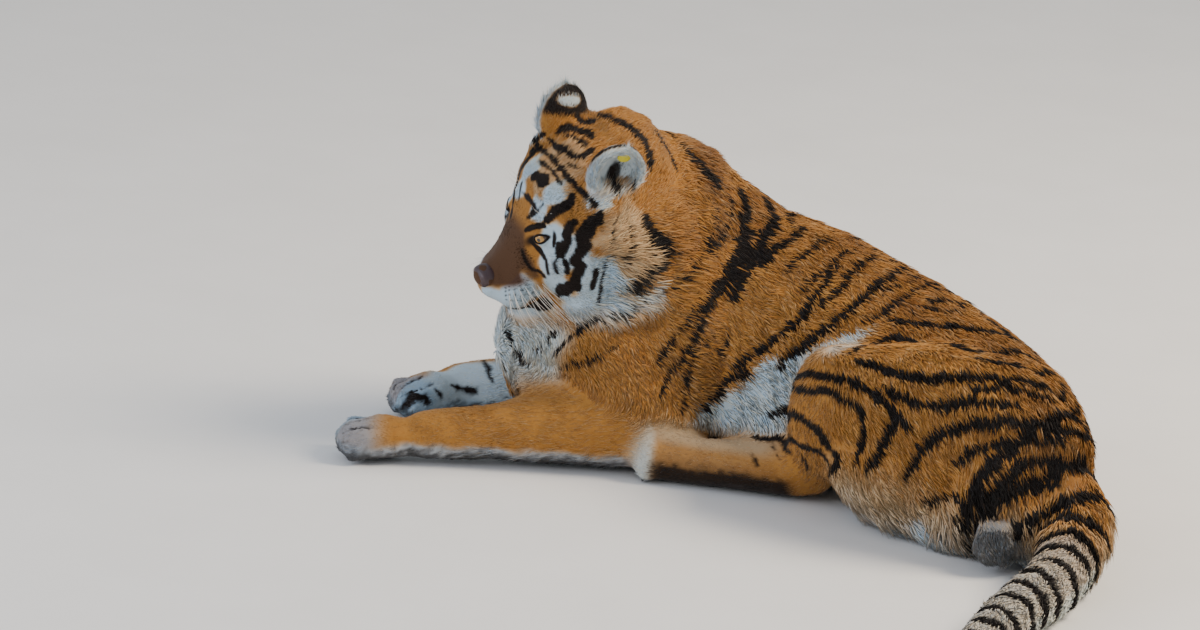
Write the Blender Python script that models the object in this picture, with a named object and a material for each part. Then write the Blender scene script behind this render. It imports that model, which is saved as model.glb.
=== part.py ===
"""A life-size Siberian tiger lying at rest, head lowered to its left, parted into its limbs.

Metres, +Z up. The tiger faces -X, and its left side faces -Y. Every outline is the outside of the
winter coat. The body is built up from lofts and ellipsoids, fused with a voxel Remesh, thinned out
and parted by thin cuts.
"""

import math

import bmesh
import bpy
from mathutils import Matrix, Vector

# ---- driving dimensions ---------------------------------------------------------------------------
GAP = 0.0005  # between neighbouring pieces
FUSE_VOXEL = 0.006
HEAD_REACH = 0.22  # from the middle of the face
HEAD_KEPT = 1300  # triangles left in the head before it is parted
BODY_KEPT = 1540  # triangles left in the rest
HEAD_CUTTER_FACES = 160
HEAD_CUTTER_MARGIN = 0.016
FLOOR_DEPTH = 0.3  # of the block that trims the underside flat

# Centre line of the trunk from the chest to the rump: place, half width, half height and roll in degrees.
TRUNK = (
    ((-0.150, 0.050, 0.215), 0.105, 0.125, 0),
    ((-0.085, 0.105, 0.240), 0.150, 0.190, 0),
    ((0.010, 0.175, 0.265), 0.190, 0.240, 0),
    ((0.130, 0.230, 0.262), 0.205, 0.258, 0),
    ((0.280, 0.255, 0.248), 0.205, 0.253, -2),
    ((0.430, 0.245, 0.230), 0.202, 0.236, -6),
    ((0.580, 0.222, 0.210), 0.192, 0.218, -12),
    ((0.720, 0.188, 0.190), 0.180, 0.198, -16),
    ((0.830, 0.145, 0.174), 0.165, 0.176, -18),
    ((0.882, 0.104, 0.162), 0.134, 0.152, -18),
    ((0.922, 0.084, 0.152), 0.096, 0.108, -18),
)
NECK = (
    ((0.135, 0.240, 0.345), 0.145, 0.190, 0),
    ((0.060, 0.175, 0.400), 0.155, 0.200, 0),
    ((0.000, 0.115, 0.455), 0.150, 0.212, 0),
    ((-0.035, 0.070, 0.490), 0.138, 0.195, 0),
)
TAIL = (
    ((0.925, 0.090, 0.170), 0.074),
    ((1.000, 0.056, 0.146), 0.072),
    ((1.056, 0.010, 0.114), 0.070),
    ((1.080, -0.052, 0.082), 0.067),
    ((1.114, -0.190, 0.061), 0.062),
    ((1.130, -0.352, 0.056), 0.058),
    ((1.145, -0.475, 0.052), 0.055),
    ((1.165, -0.600, 0.048), 0.051),
    ((1.190, -0.715, 0.044), 0.047),
    ((1.205, -0.820, 0.037), 0.039),
)

# The head's own frame is x forwards, y to its left and z up, from the middle of the skull.
HEAD_AT = Vector((-0.083, -0.012, 0.500))
HEAD_HEADING = 234.2
HEAD_PITCH = 25.3
HEAD_ROLL = -17.4
SKULL = (
    ((0.204, 0, -0.058), 0.050, 0.042, 0),
    ((0.186, 0, -0.062), 0.065, 0.061, 0),
    ((0.155, 0, -0.062), 0.072, 0.074, 0),
    ((0.120, 0, -0.052), 0.080, 0.088, 0),
    ((0.085, 0, -0.038), 0.105, 0.104, 0),
    ((0.045, 0, -0.022), 0.145, 0.124, 0),
    ((0.000, 0, -0.010), 0.166, 0.136, 0),
    ((-0.050, 0, -0.005), 0.170, 0.138, 0),
    ((-0.090, 0, -0.005), 0.155, 0.126, 0),
)
EYE_AT = Vector((0.102, 0.059, 0.038))
EYE_RADIUS = 0.018
EAR_AT = Vector((-0.042, 0.106, 0.119))
EAR_LIFT = 0.033  # of the middle of the ear above its root
EAR_RADII = (0.060, 0.038, 0.068)
NOSE_AT = Vector((0.229, 0, -0.036))
NOSE_RADII = (0.030, 0.030, 0.024)
TAG_AT = (0.004, 0.001, 0.040)  # across, out of and up the ear, from its middle
TAG_RADII = (0.014, 0.005, 0.011)
SCROTUM_AT = (0.925, -0.075, 0.062)
SCROTUM_RADII = (0.048, 0.046, 0.050)
TAIL_CUTS = (
    ("tail_root", (1.230, -0.470, 0.050), 0.440),
    ("tail_middle", (1.230, -0.660, 0.050), 0.365),
    ("tail_tip", (1.215, -0.800, 0.050), 0.170),
)
HIND_CUT_AT = (1.060, 0.080, 0.160)
HIND_CUT_RADII = (0.520, 0.520, 0.560)
NECK_CUT_AT = (-0.090, -0.010, 0.560)
NECK_CUT_RADII = (0.300, 0.300, 0.300)
SHOULDER_CUTS = {"left": (0.020, -0.130, 0.200), "right": (-0.150, 0.390, 0.190)}
SHOULDER_CUT_RADII = (0.200, 0.220, 0.215)
THIGH_CUTS = {"left": (0.700, -0.070, 0.215), "right": (0.700, 0.390, 0.130)}
THIGH_CUT_RADII = (0.270, 0.210, 0.225)

# Elbow, wrist and toe line of each foreleg; hip, knee, heel and toe line of each hind leg.
FORELEGS = {
    "left": {
        "scapula": (0.120, 0.120, 0.420),
        "shoulder": (-0.020, -0.010, 0.280),
        "elbow": (0.095, 0.005, 0.095),
        "wrist": (-0.262, -0.262, 0.054),
        "toes": (-0.348, -0.322, 0.043),
    },
    "right": {
        "scapula": (0.030, 0.330, 0.410),
        "shoulder": (-0.160, 0.190, 0.270),
        "elbow": (-0.060, 0.290, 0.095),
        "wrist": (-0.378, 0.055, 0.054),
        "toes": (-0.415, -0.026, 0.043),
    },
}
HINDLEGS = {
    "left": {
        "hip": (0.845, 0.050, 0.217),
        "knee": (0.505, 0.010, 0.262),
        "heel": (0.445, 0.055, 0.056),
        "toes": (0.155, -0.030, 0.046),
    },
    "right": {
        "hip": (0.815, 0.235, 0.158),
        "knee": (0.530, 0.410, 0.120),
        "heel": (0.700, 0.430, 0.052),
        "toes": (0.400, 0.480, 0.042),
    },
}

# Colour and roughness of each piece's coat or skin, by the first part of its name.
ORANGE = ((0.50, 0.22, 0.05), 0.75)
PALE = ((0.70, 0.62, 0.50), 0.75)
FINISHES = {
    "nose": ((0.20, 0.09, 0.08), 0.45),
    "eye": ((0.42, 0.26, 0.05), 0.08),
    "ear_tag": ((0.80, 0.66, 0.04), 0.45),
    "ear": ((0.20, 0.16, 0.13), 0.75),
    "tail_tip": ((0.06, 0.05, 0.04), 0.75),
    "scrotum": PALE,
    "hind_foot": PALE,
}


# ---- scene and materials --------------------------------------------------------------------------
def clear_scene():
    for old in list(bpy.data.objects):
        bpy.data.objects.remove(old, do_unlink=True)


def coat_material(name):
    colour, roughness = next((look for start, look in FINISHES.items() if name.startswith(start)), ORANGE)
    made = bpy.data.materials.new(name)
    made.use_nodes = True
    shader = made.node_tree.nodes["Principled BSDF"]
    shader.inputs["Base Color"].default_value = (*colour, 1)
    shader.inputs["Roughness"].default_value = roughness
    shader.inputs["Metallic"].default_value = 0.0
    return made


# ---- shapes ---------------------------------------------------------------------------------------
def new_object(name, mesh_builder):
    """An object whose mesh is what mesh_builder(bm) puts in an empty bmesh."""
    bm = bmesh.new()
    mesh_builder(bm)
    bmesh.ops.recalc_face_normals(bm, faces=bm.faces)
    mesh = bpy.data.meshes.new(name)
    bm.to_mesh(mesh)
    bm.free()
    made = bpy.data.objects.new(name, mesh)
    bpy.context.scene.collection.objects.link(made)
    return made


def ellipsoid(name, centre, radii, frame=None, detail=4):
    """A closed ellipsoid with its radii along the axes of frame, or of the world."""
    turn = frame or Matrix.Identity(4)
    place = Matrix.Translation(Vector(centre)) @ turn @ Matrix.Diagonal((*radii, 1))

    def build(bm):
        bmesh.ops.create_icosphere(bm, subdivisions=detail, radius=1.0)
        bmesh.ops.transform(bm, matrix=place, verts=bm.verts)

    return new_object(name, build)


def catmull_rom(a, b, c, d, t):
    """The value at t between b and c, on the curve through a, b, c and d."""
    square = (2 * a - 5 * b + 4 * c - d) * t**2
    cube = (3 * b - a - 3 * c + d) * t**3
    return 0.5 * (2 * b + (c - a) * t + square + cube)


def smooth_stations(stations, steps):
    """Catmull-Rom stations: each is a flat tuple of numbers, and so are the ones put between."""
    padded = [stations[0], *stations, stations[-1]]
    made = []
    for a, b, c, d in zip(padded, padded[1:], padded[2:], padded[3:]):
        for step in range(steps):
            made.append([catmull_rom(*values, step / steps) for values in zip(a, b, c, d)])
    made.append(list(stations[-1]))
    return made


def loft(name, stations, sides=24, cap_rings=4, steps=4):
    """A closed tube of elliptic sections with rounded ends.

    A station is ((x, y, z), half width, half height, roll in degrees). Width is level, and height
    is square to it.
    """
    rows = smooth_stations([(*centre, wide, high, roll) for centre, wide, high, roll in stations], steps)
    centres = [Vector(row[:3]) for row in rows]
    tangents = [
        (centres[min(i + 1, len(rows) - 1)] - centres[max(i - 1, 0)]).normalized() for i in range(len(rows))
    ]
    sections = []
    for i, (centre, tangent, row) in enumerate(zip(centres, tangents, rows)):
        last = len(rows) - 1
        if i == 0:
            sections += [
                (centre - tangent * min(row[3:5]) * math.sin(angle), tangent, row, math.cos(angle))
                for angle in (math.pi / 2 * k / cap_rings for k in range(cap_rings - 1, 0, -1))
            ]
        sections.append((centre, tangent, row, 1.0))
        if i == last:
            sections += [
                (centre + tangent * min(row[3:5]) * math.sin(angle), tangent, row, math.cos(angle))
                for angle in (math.pi / 2 * k / cap_rings for k in range(1, cap_rings))
            ]

    def build(bm):
        rings = []
        for centre, tangent, row, share in sections:
            level = tangent.cross(Vector((0, 0, 1))).normalized()
            upright = level.cross(tangent).normalized()
            turn = Matrix.Rotation(math.radians(row[5]), 3, tangent)
            level, upright = turn @ level, turn @ upright
            ring = []
            for k in range(sides):
                angle = 2 * math.pi * k / sides
                offset = level * math.cos(angle) * row[3] + upright * math.sin(angle) * row[4]
                ring.append(bm.verts.new(centre + offset * share))
            rings.append(ring)
        for first, second in zip(rings, rings[1:]):
            for k in range(sides):
                bm.faces.new((first[k], first[(k + 1) % sides], second[(k + 1) % sides], second[k]))
        bm.faces.new(list(reversed(rings[0])))
        bm.faces.new(rings[-1])

    return new_object(name, build)


def limb(name, points, **options):
    """A round tapered loft through (place, radius) pairs."""
    return loft(name, [(place, radius, radius, 0) for place, radius in points], **options)


def in_head(point):
    return head_frame() @ Vector(point)


def head_frame():
    """Matrix from the head's frame to the tiger's."""
    turn = (
        Matrix.Rotation(math.radians(HEAD_HEADING), 4, "Z")
        @ Matrix.Rotation(math.radians(HEAD_PITCH), 4, "Y")
        @ Matrix.Rotation(math.radians(HEAD_ROLL), 4, "X")
    )
    return Matrix.Translation(HEAD_AT) @ turn


def between(a, b, share):
    return Vector(a).lerp(Vector(b), share)


# ---- fusing and cutting ---------------------------------------------------------------------------
def applied(made):
    """Replaces the object's mesh by its evaluated one, so that its modifiers are used up."""
    graph = bpy.context.evaluated_depsgraph_get()
    mesh = bpy.data.meshes.new_from_object(made.evaluated_get(graph))
    made.modifiers.clear()
    made.data = mesh
    return made


def join(name, pieces):
    bm = bmesh.new()
    for piece in pieces:
        piece.data.transform(piece.matrix_world)
        bm.from_mesh(piece.data)
        bpy.data.objects.remove(piece)
    mesh = bpy.data.meshes.new(name)
    bm.to_mesh(mesh)
    bm.free()
    made = bpy.data.objects.new(name, mesh)
    bpy.context.scene.collection.objects.link(made)
    return made


def fuse(name, pieces, voxel, soften):
    """One skin round all the pieces, with its creases softened that many times."""
    made = join(name, pieces)
    remesh = made.modifiers.new("Fuse", "REMESH")
    remesh.mode = "VOXEL"
    remesh.voxel_size = voxel
    ease = made.modifiers.new("Soften", "SMOOTH")
    ease.factor = 0.5
    ease.iterations = soften
    return applied(made)


def combine(made, operation, other, solver="EXACT"):
    """Applies one Boolean of the two objects to the first, and uses the other up."""
    cut = made.modifiers.new(operation.title(), "BOOLEAN")
    cut.operation = operation
    cut.solver = solver
    cut.object = other
    applied(made)
    bpy.data.objects.remove(other)
    return made


def copy_of(source, name):
    made = bpy.data.objects.new(name, source.data.copy())
    made.matrix_world = source.matrix_world.copy()
    bpy.context.scene.collection.objects.link(made)
    return made


def grown(source, name, distance):
    """A copy of a closed shape with each vertex moved out by the distance."""
    made = copy_of(source, name)
    for vertex, normal in zip(made.data.vertices, [v.normal.copy() for v in made.data.vertices]):
        vertex.co += normal * distance
    return made


def keep_largest(made):
    """Drops the slivers that a cut can leave, so that the object stays one body."""
    bm = bmesh.new()
    bm.from_mesh(made.data)
    left = set(bm.faces)
    islands = []
    while left:
        stack = [left.pop()]
        island = list(stack)
        while stack:
            for edge in stack.pop().edges:
                for face in edge.link_faces:
                    if face in left:
                        left.remove(face)
                        stack.append(face)
                        island.append(face)
        islands.append(island)
    islands.sort(key=len)
    spare = [face for island in islands[:-1] for face in island]
    bmesh.ops.delete(bm, geom=spare, context="FACES")
    bm.to_mesh(made.data)
    bm.free()
    return made


def part_off(body, name, region):
    """Cuts the piece inside the closed region off the body, and leaves a gap between the two.

    The regions cross one another inside the body, where the exact solver opens the fused skin.
    """
    piece = copy_of(body, name)
    combine(body, "DIFFERENCE", grown(region, "margin", GAP), solver="MANIFOLD")
    combine(piece, "INTERSECT", region, solver="MANIFOLD")
    keep_largest(body)
    return keep_largest(piece)


# ---- the tiger ------------------------------------------------------------------------------------
def leg_masses(side):
    """Lofts of one foreleg: shoulder blade, upper arm and forearm, without the paw."""
    leg = FORELEGS[side]
    shoulder, elbow, wrist = leg["shoulder"], leg["elbow"], leg["wrist"]
    return [
        limb(
            f"upper_arm_{side}",
            (
                (leg["scapula"], 0.070),
                (between(leg["scapula"], shoulder, 0.5), 0.100),
                (shoulder, 0.110),
                (between(shoulder, elbow, 0.5), 0.108),
                (elbow, 0.088),
            ),
        ),
        limb(
            f"forearm_{side}",
            (
                (between(elbow, wrist, -0.10), 0.080),
                (between(elbow, wrist, 0.08), 0.092),
                (between(elbow, wrist, 0.35), 0.079),
                (between(elbow, wrist, 0.70), 0.060),
                (wrist, 0.053),
            ),
        ),
    ]


def hind_masses(side):
    """Lofts of one hind leg: thigh, shank and metatarsus, without the toes."""
    leg = HINDLEGS[side]
    hip, knee, heel, toes = leg["hip"], leg["knee"], leg["heel"], leg["toes"]
    return [
        loft(
            f"thigh_{side}",
            (
                (between(hip, knee, -0.35), 0.085, 0.110, 0),
                (between(hip, knee, -0.05), 0.125, 0.165, 0),
                (between(hip, knee, 0.35), 0.125, 0.165, 0),
                (between(hip, knee, 0.70), 0.100, 0.125, 0),
                (knee, 0.078, 0.090, 0),
            ),
        ),
        limb(
            f"shank_{side}",
            (
                (knee, 0.080),
                (between(knee, heel, 0.4), 0.078),
                (between(knee, heel, 0.8), 0.055),
                (heel, 0.046),
            ),
        ),
        limb(
            f"metatarsus_{side}",
            (
                (between(heel, toes, -0.06), 0.042),
                (between(heel, toes, 0.10), 0.052),
                (between(heel, toes, 0.45), 0.051),
                (between(heel, toes, 0.85), 0.052),
            ),
        ),
    ]


def paw(name, toes, back, length, width):
    """A palm and four round toes; back is the point that the paw comes from."""
    toes, back = Vector(toes), Vector(back)
    forward = Vector((toes.x - back.x, toes.y - back.y, 0)).normalized()
    aside = Vector((-forward.y, forward.x, 0))
    frame = Matrix((forward, aside, Vector((0, 0, 1)))).transposed().to_4x4()
    level = toes.z
    palm = toes - forward * length * 0.22 + Vector((0, 0, 0.004))
    pieces = [ellipsoid(name, palm, (length * 0.55, width * 0.47, level * 1.12), frame)]
    for k in range(4):
        spread = (k - 1.5) / 1.5
        reach = length * (0.24 - 0.10 * spread**2)
        centre = toes + forward * reach + aside * spread * width * 0.35 - Vector((0, 0, 0.003))
        radii = (length * 0.26, width * 0.160, level * 0.95)
        pieces.append(ellipsoid(name, centre, radii, frame, detail=3))
    return pieces


def head_masses():
    """The skull loft and the masses on it, in the head's frame, then moved into place."""
    pieces = [
        loft("skull", SKULL, sides=32),
        loft(
            "nose_bridge",
            (
                ((0.200, 0, -0.042), 0.032, 0.026, 0),
                ((0.155, 0, -0.014), 0.034, 0.030, 0),
                ((0.110, 0, 0.028), 0.036, 0.032, 0),
                ((0.070, 0, 0.068), 0.046, 0.034, 0),
            ),
        ),
        ellipsoid("forehead", (0.014, 0, 0.058), (0.089, 0.133, 0.082)),
        ellipsoid("crown", (-0.055, 0, 0.076), (0.100, 0.142, 0.080)),
        ellipsoid("nape", (-0.130, -0.005, 0.062), (0.085, 0.122, 0.104)),
        ellipsoid("chin", (0.160, 0, -0.120), (0.048, 0.047, 0.043)),
        ellipsoid("jaw", (0.078, 0, -0.114), (0.106, 0.088, 0.066)),
        ellipsoid("throat", (-0.040, 0, -0.122), (0.120, 0.134, 0.096)),
    ]
    for side in (1, -1):
        pieces += [
            ellipsoid("brow", (0.080, side * 0.050, 0.060), (0.034, 0.032, 0.020)),
            ellipsoid("whisker_pad", (0.176, side * 0.040, -0.074), (0.048, 0.041, 0.045)),
            ellipsoid("cheek_bone", (0.055, side * 0.080, -0.020), (0.075, 0.052, 0.060)),
            ellipsoid("cheek", (0.025, side * 0.092, -0.080), (0.096, 0.066, 0.102)),
            ellipsoid("ruff", (-0.045, side * 0.114, -0.106), (0.100, 0.080, 0.130)),
            ellipsoid("mane", (-0.118, side * 0.096, -0.072), (0.092, 0.088, 0.132)),
            ellipsoid("ear_root", (-0.030, side * 0.096, 0.086), (0.072, 0.058, 0.048)),
        ]
    for piece in pieces:
        piece.data.transform(head_frame())
    return pieces


def ear_frame(side):
    """Matrix whose columns go across the ear, out of its opening and to its tip, in the head's frame."""
    sign = 1 if side == "left" else -1
    tip_way = Vector((-0.50, sign * 0.16, 0.85)).normalized()
    open_way = Vector((0.14, sign * 0.94, 0.12))
    open_way = (open_way - tip_way * open_way.dot(tip_way)).normalized()
    return Matrix((tip_way.cross(open_way), open_way, tip_way)).transposed().to_4x4()


def ear_centre(side):
    sign = 1 if side == "left" else -1
    root = Vector((EAR_AT.x, sign * EAR_AT.y, EAR_AT.z))
    return root + ear_frame(side).to_3x3() @ Vector((0, 0, EAR_LIFT))


def build_ear(side, head):
    """A cupped ear, turned back and out, set into the head."""
    local = ear_frame(side)
    frame = head_frame().to_3x3().to_4x4() @ local
    wide, deep, high = EAR_RADII
    shell = ellipsoid(f"ear_{side}", in_head(ear_centre(side)), EAR_RADII, frame, detail=3)
    middle = ear_centre(side) + local.to_3x3() @ Vector((0, deep * 0.80, high * 0.16))
    hollow = ellipsoid("hollow", in_head(middle), (wide * 0.82, deep * 1.10, high * 0.76), frame, detail=2)
    combine(shell, "DIFFERENCE", hollow)
    return keep_largest(combine(shell, "DIFFERENCE", grown(head, "margin", GAP)))


def build_body():
    """The whole tiger as one closed skin, without ears, eyes and nose."""
    masses = [loft("trunk", TRUNK, sides=40), loft("neck", NECK, sides=32)]
    masses += [
        ellipsoid("breast", (-0.145, 0.005, 0.210), (0.112, 0.110, 0.135)),
        ellipsoid("gullet", (-0.085, 0.050, 0.310), (0.130, 0.125, 0.120)),
        ellipsoid("shoulder_hump", (0.105, 0.090, 0.270), (0.140, 0.110, 0.210)),
        ellipsoid("belly", (0.330, 0.205, 0.110), (0.260, 0.155, 0.125)),
        ellipsoid("hamstring", (0.680, 0.035, 0.120), (0.190, 0.115, 0.125)),
        ellipsoid("lap", (0.790, 0.050, 0.060), (0.170, 0.115, 0.080)),
        ellipsoid("tail_web", (0.982, 0.000, 0.080), (0.066, 0.060, 0.085)),
        ellipsoid("buttock_left", (0.882, 0.014, 0.143), (0.099, 0.110, 0.130)),
        ellipsoid("buttock_right", (0.850, 0.150, 0.112), (0.102, 0.110, 0.112)),
    ]
    for side in ("left", "right"):
        masses += leg_masses(side) + hind_masses(side)
    torso = fuse("torso", masses, 0.012, 14)
    head = fuse("head_mass", head_masses(), 0.006, 14)
    head_cutter = grown(head, "head_cutter", HEAD_CUTTER_MARGIN)
    thin = head_cutter.modifiers.new("Thin", "DECIMATE")
    thin.ratio = HEAD_CUTTER_FACES / (2 * len(head_cutter.data.polygons))
    applied(head_cutter)
    details = [torso, head, limb("tail", TAIL)]
    for side in ("left", "right"):
        fore, hind = FORELEGS[side], HINDLEGS[side]
        details += paw("forepaw", fore["toes"], fore["wrist"], 0.140, 0.122)
        details += paw("hindpaw", hind["toes"], hind["heel"], 0.128, 0.110)
    details.append(ellipsoid("scrotum", SCROTUM_AT, SCROTUM_RADII, detail=3))
    return fuse("trunk", details, FUSE_VOXEL, 4), head_cutter


def thin_out(body):
    """Fewer triangles, with the head kept finer than the rest."""
    middle = in_head((0.06, 0, 0))
    near, rest = [], []
    for vertex in body.data.vertices:
        (near if (vertex.co - middle).length < HEAD_REACH else rest).append(vertex.index)
    body.vertex_groups.new(name="near").add(near, 1.0, "REPLACE")
    body.vertex_groups.new(name="rest").add(rest, 1.0, "REPLACE")
    total = 2 * len(body.data.polygons)
    head_total = total * len(near) / len(body.data.vertices)
    for name, wanted in (("near", total - head_total + HEAD_KEPT), ("rest", HEAD_KEPT + BODY_KEPT)):
        thin = body.modifiers.new(name, "DECIMATE")
        thin.vertex_group = name
        thin.use_collapse_triangulate = True
        thin.ratio = wanted / total
        applied(body)
        total = wanted
    return body


def flatten_underside(body):
    """Cuts away what lies under the floor, so that the tiger rests on small flats at one level."""

    def build(bm):
        bmesh.ops.create_cube(bm, size=1.0)
        bmesh.ops.scale(bm, vec=(4, 4, FLOOR_DEPTH), verts=bm.verts)
        bmesh.ops.translate(bm, vec=(0, 0, -FLOOR_DEPTH / 2), verts=bm.verts)

    return combine(body, "DIFFERENCE", new_object("floor_block", build))


def build_eye(side, head):
    """An eyeball in its socket, with the front of it between the lids."""
    sign = 1 if side == "left" else -1
    centre = in_head((EYE_AT.x, sign * EYE_AT.y, EYE_AT.z))
    combine(head, "DIFFERENCE", ellipsoid("socket", centre, (EYE_RADIUS + GAP,) * 3, detail=2))
    return ellipsoid(f"eye_{side}", centre, (EYE_RADIUS,) * 3, detail=2)


def build_nose(head):
    """The nose pad: the front of the muzzle between the two nostrils."""
    frame = head_frame().to_3x3().to_4x4()
    region = ellipsoid("pad", in_head(NOSE_AT), NOSE_RADII, frame, detail=2)
    return part_off(head, "nose_pad", region)


def build_tag(ear):
    """A plain round-cornered tag on the inner face of the left ear, near its tip."""
    frame = ear_frame("left")
    place = ear_centre("left") + frame.to_3x3() @ Vector(TAG_AT)
    tag = ellipsoid("ear_tag", in_head(place), TAG_RADII, head_frame().to_3x3().to_4x4() @ frame, detail=2)
    combine(ear, "DIFFERENCE", grown(tag, "margin", GAP))
    keep_largest(ear)
    return tag


def region_round(points):
    """A plain cutter through (place, radius) pairs."""
    return limb("cut", points, sides=12, cap_rings=2, steps=1)


def region_ball(centre, radii):
    return ellipsoid("cut", centre, radii, detail=2)


def part_forearm(body, side):
    leg = FORELEGS[side]
    elbow, wrist, toes = leg["elbow"], leg["wrist"], leg["toes"]
    lower = region_round(((between(elbow, wrist, 0.14), 0.112), (wrist, 0.095), (toes, 0.125)))
    forearm = part_off(body, f"forearm_{side}", lower)
    part_off(forearm, f"forepaw_{side}", region_round(((wrist, 0.100), (toes, 0.130))))


def part_hind_leg(body, side):
    """Hind leg: foot, shank and thigh."""
    leg = HINDLEGS[side]
    knee, heel, toes = leg["knee"], leg["heel"], leg["toes"]
    part_off(body, f"hind_foot_{side}", region_round(((between(heel, toes, 0.08), 0.066), (toes, 0.090))))
    part_off(body, f"shank_{side}", region_round(((knee, 0.100), (heel, 0.080))))
    part_off(body, f"thigh_{side}", region_ball(THIGH_CUTS[side], THIGH_CUT_RADII))


def part_tail(body):
    """The tail in three lengths, each cut off the one before it."""
    rest = body
    for name, centre, radius in TAIL_CUTS:
        rest = part_off(rest, name, region_ball(centre, (radius, radius, radius)))


def finish():
    """Gives each piece its material and smooth shading, and sets the tiger over the origin."""
    pieces = [made for made in bpy.context.scene.objects if made.type == "MESH"]
    corners = [made.matrix_world @ vertex.co for made in pieces for vertex in made.data.vertices]
    low = Vector([min(corner[axis] for corner in corners) for axis in range(3)])
    high = Vector([max(corner[axis] for corner in corners) for axis in range(3)])
    shift = Vector((-(low.x + high.x) / 2, -(low.y + high.y) / 2, -low.z))
    for made in pieces:
        made.data.transform(Matrix.Translation(shift) @ made.matrix_world)
        made.matrix_world = Matrix.Identity(4)
        made.data.materials.clear()
        made.data.materials.append(coat_material(made.name))
        for polygon in made.data.polygons:
            polygon.use_smooth = True


def main():
    clear_scene()
    body, head_cutter = build_body()
    thin_out(body)
    flatten_underside(body)
    ears = [build_ear(side, body) for side in ("left", "right")]
    build_tag(ears[0])
    for side in ("left", "right"):
        build_eye(side, body)
    build_nose(part_off(body, "head", head_cutter))
    part_off(body, "scrotum", region_ball(SCROTUM_AT, [radius * 1.12 for radius in SCROTUM_RADII]))
    part_tail(body)
    for side in ("left", "right"):
        part_forearm(body, side)
        part_hind_leg(body, side)
    part_off(body, "neck", region_ball(NECK_CUT_AT, NECK_CUT_RADII))
    for side in ("left", "right"):
        part_off(body, f"upper_arm_{side}", region_ball(SHOULDER_CUTS[side], SHOULDER_CUT_RADII))
    part_off(body, "hindquarters", region_ball(HIND_CUT_AT, HIND_CUT_RADII))
    finish()


main()
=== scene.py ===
"""A life-size Siberian tiger at rest: skin, coat, eyes, nose and ear tag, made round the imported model."""

import logging
import math
from collections.abc import Iterable, Iterator
from contextlib import contextmanager
from dataclasses import dataclass, field
from enum import Enum

import bmesh
import bpy
import numpy as np
from mathutils import Matrix, Vector
from mathutils.bvhtree import BVHTree


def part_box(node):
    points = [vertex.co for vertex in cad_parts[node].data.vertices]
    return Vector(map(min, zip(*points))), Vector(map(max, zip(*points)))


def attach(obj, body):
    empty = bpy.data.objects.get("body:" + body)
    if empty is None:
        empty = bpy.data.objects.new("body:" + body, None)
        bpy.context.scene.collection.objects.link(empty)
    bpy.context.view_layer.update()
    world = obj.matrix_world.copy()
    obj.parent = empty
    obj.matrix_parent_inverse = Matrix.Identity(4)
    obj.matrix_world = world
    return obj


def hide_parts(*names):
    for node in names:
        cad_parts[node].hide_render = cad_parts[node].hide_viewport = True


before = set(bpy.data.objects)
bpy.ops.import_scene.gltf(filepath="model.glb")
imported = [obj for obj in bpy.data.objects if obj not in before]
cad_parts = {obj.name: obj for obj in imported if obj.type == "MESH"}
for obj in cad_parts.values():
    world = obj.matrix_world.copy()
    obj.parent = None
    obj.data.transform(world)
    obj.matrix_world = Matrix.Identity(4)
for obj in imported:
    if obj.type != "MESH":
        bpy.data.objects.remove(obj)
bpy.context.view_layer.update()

logging.basicConfig(level=logging.INFO, format="%(message)s")
log = logging.getLogger("tiger")

# Arrays hold one number or one row of numbers for each place.
Array = np.ndarray
BODY = "root"
MM = 0.001


# ---- numbers and vectors -------------------------------------------------------------------------
def linear(code: str) -> tuple[float, float, float, float]:
    """The linear colour of an sRGB hex value.

    Args:
        code: A value such as "#a0b1c2".

    Returns:
        Red, green, blue and an alpha of 1.
    """
    parts = [int(code[i : i + 2], 16) / 255 for i in (1, 3, 5)]
    made = [part / 12.92 if part <= 0.04045 else ((part + 0.055) / 1.055) ** 2.4 for part in parts]
    return (*made, 1.0)


def unit(vectors: Array) -> Array:
    """Rows scaled to length 1."""
    return vectors / np.maximum(np.linalg.norm(vectors, axis=-1, keepdims=True), 1e-12)


def dot(first: Array, second: Array) -> Array:
    """Row by row products, kept as a column."""
    return np.sum(first * second, axis=-1, keepdims=True)


def step(value: Array, low: float, high: float) -> Array:
    """A smooth rise from 0 at low to 1 at high, or a fall if high is under low."""
    share = np.clip((value - low) / (high - low), 0, 1)
    return share * share * (3 - 2 * share)


def mix(first: Array, second: Array, share: Array) -> Array:
    """A blend from first, at share 0, to second, at share 1."""
    return first + (second - first) * share


def ripple(places: Array, size: float, seed: int) -> Array:
    """Smooth waves in space, such as those in the edges of stripes.

    Args:
        places: Rows of x, y, z.
        size: Rough distance from one crest to the next.
        seed: Picks one set of waves.

    Returns:
        One value for each place, mostly between -1 and 1.
    """
    rng = np.random.default_rng(seed)
    total = np.zeros(len(places))
    waves = 7
    for _ in range(waves):
        way = unit(rng.normal(size=3)) * (2 * math.pi / size) * rng.uniform(0.6, 1.6)
        total += np.sin(places @ way + rng.uniform(0, 2 * math.pi))
    return total / math.sqrt(waves)


def curve_through(points: Array, count: int) -> Array:
    """Evenly numbered places on the Catmull-Rom curve through the points."""
    padded = np.vstack([2 * points[0] - points[1], points, 2 * points[-1] - points[-2]])
    spots = np.linspace(0, len(points) - 1, count)
    first = np.minimum(spots.astype(int), len(points) - 2)
    t = (spots - first)[:, None]
    a, b, c, d = (padded[first + k] for k in range(4))
    square = (2 * a - 5 * b + 4 * c - d) * t**2
    cube = (3 * b - a - 3 * c + d) * t**3
    return 0.5 * (2 * b + (c - a) * t + square + cube)


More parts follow.
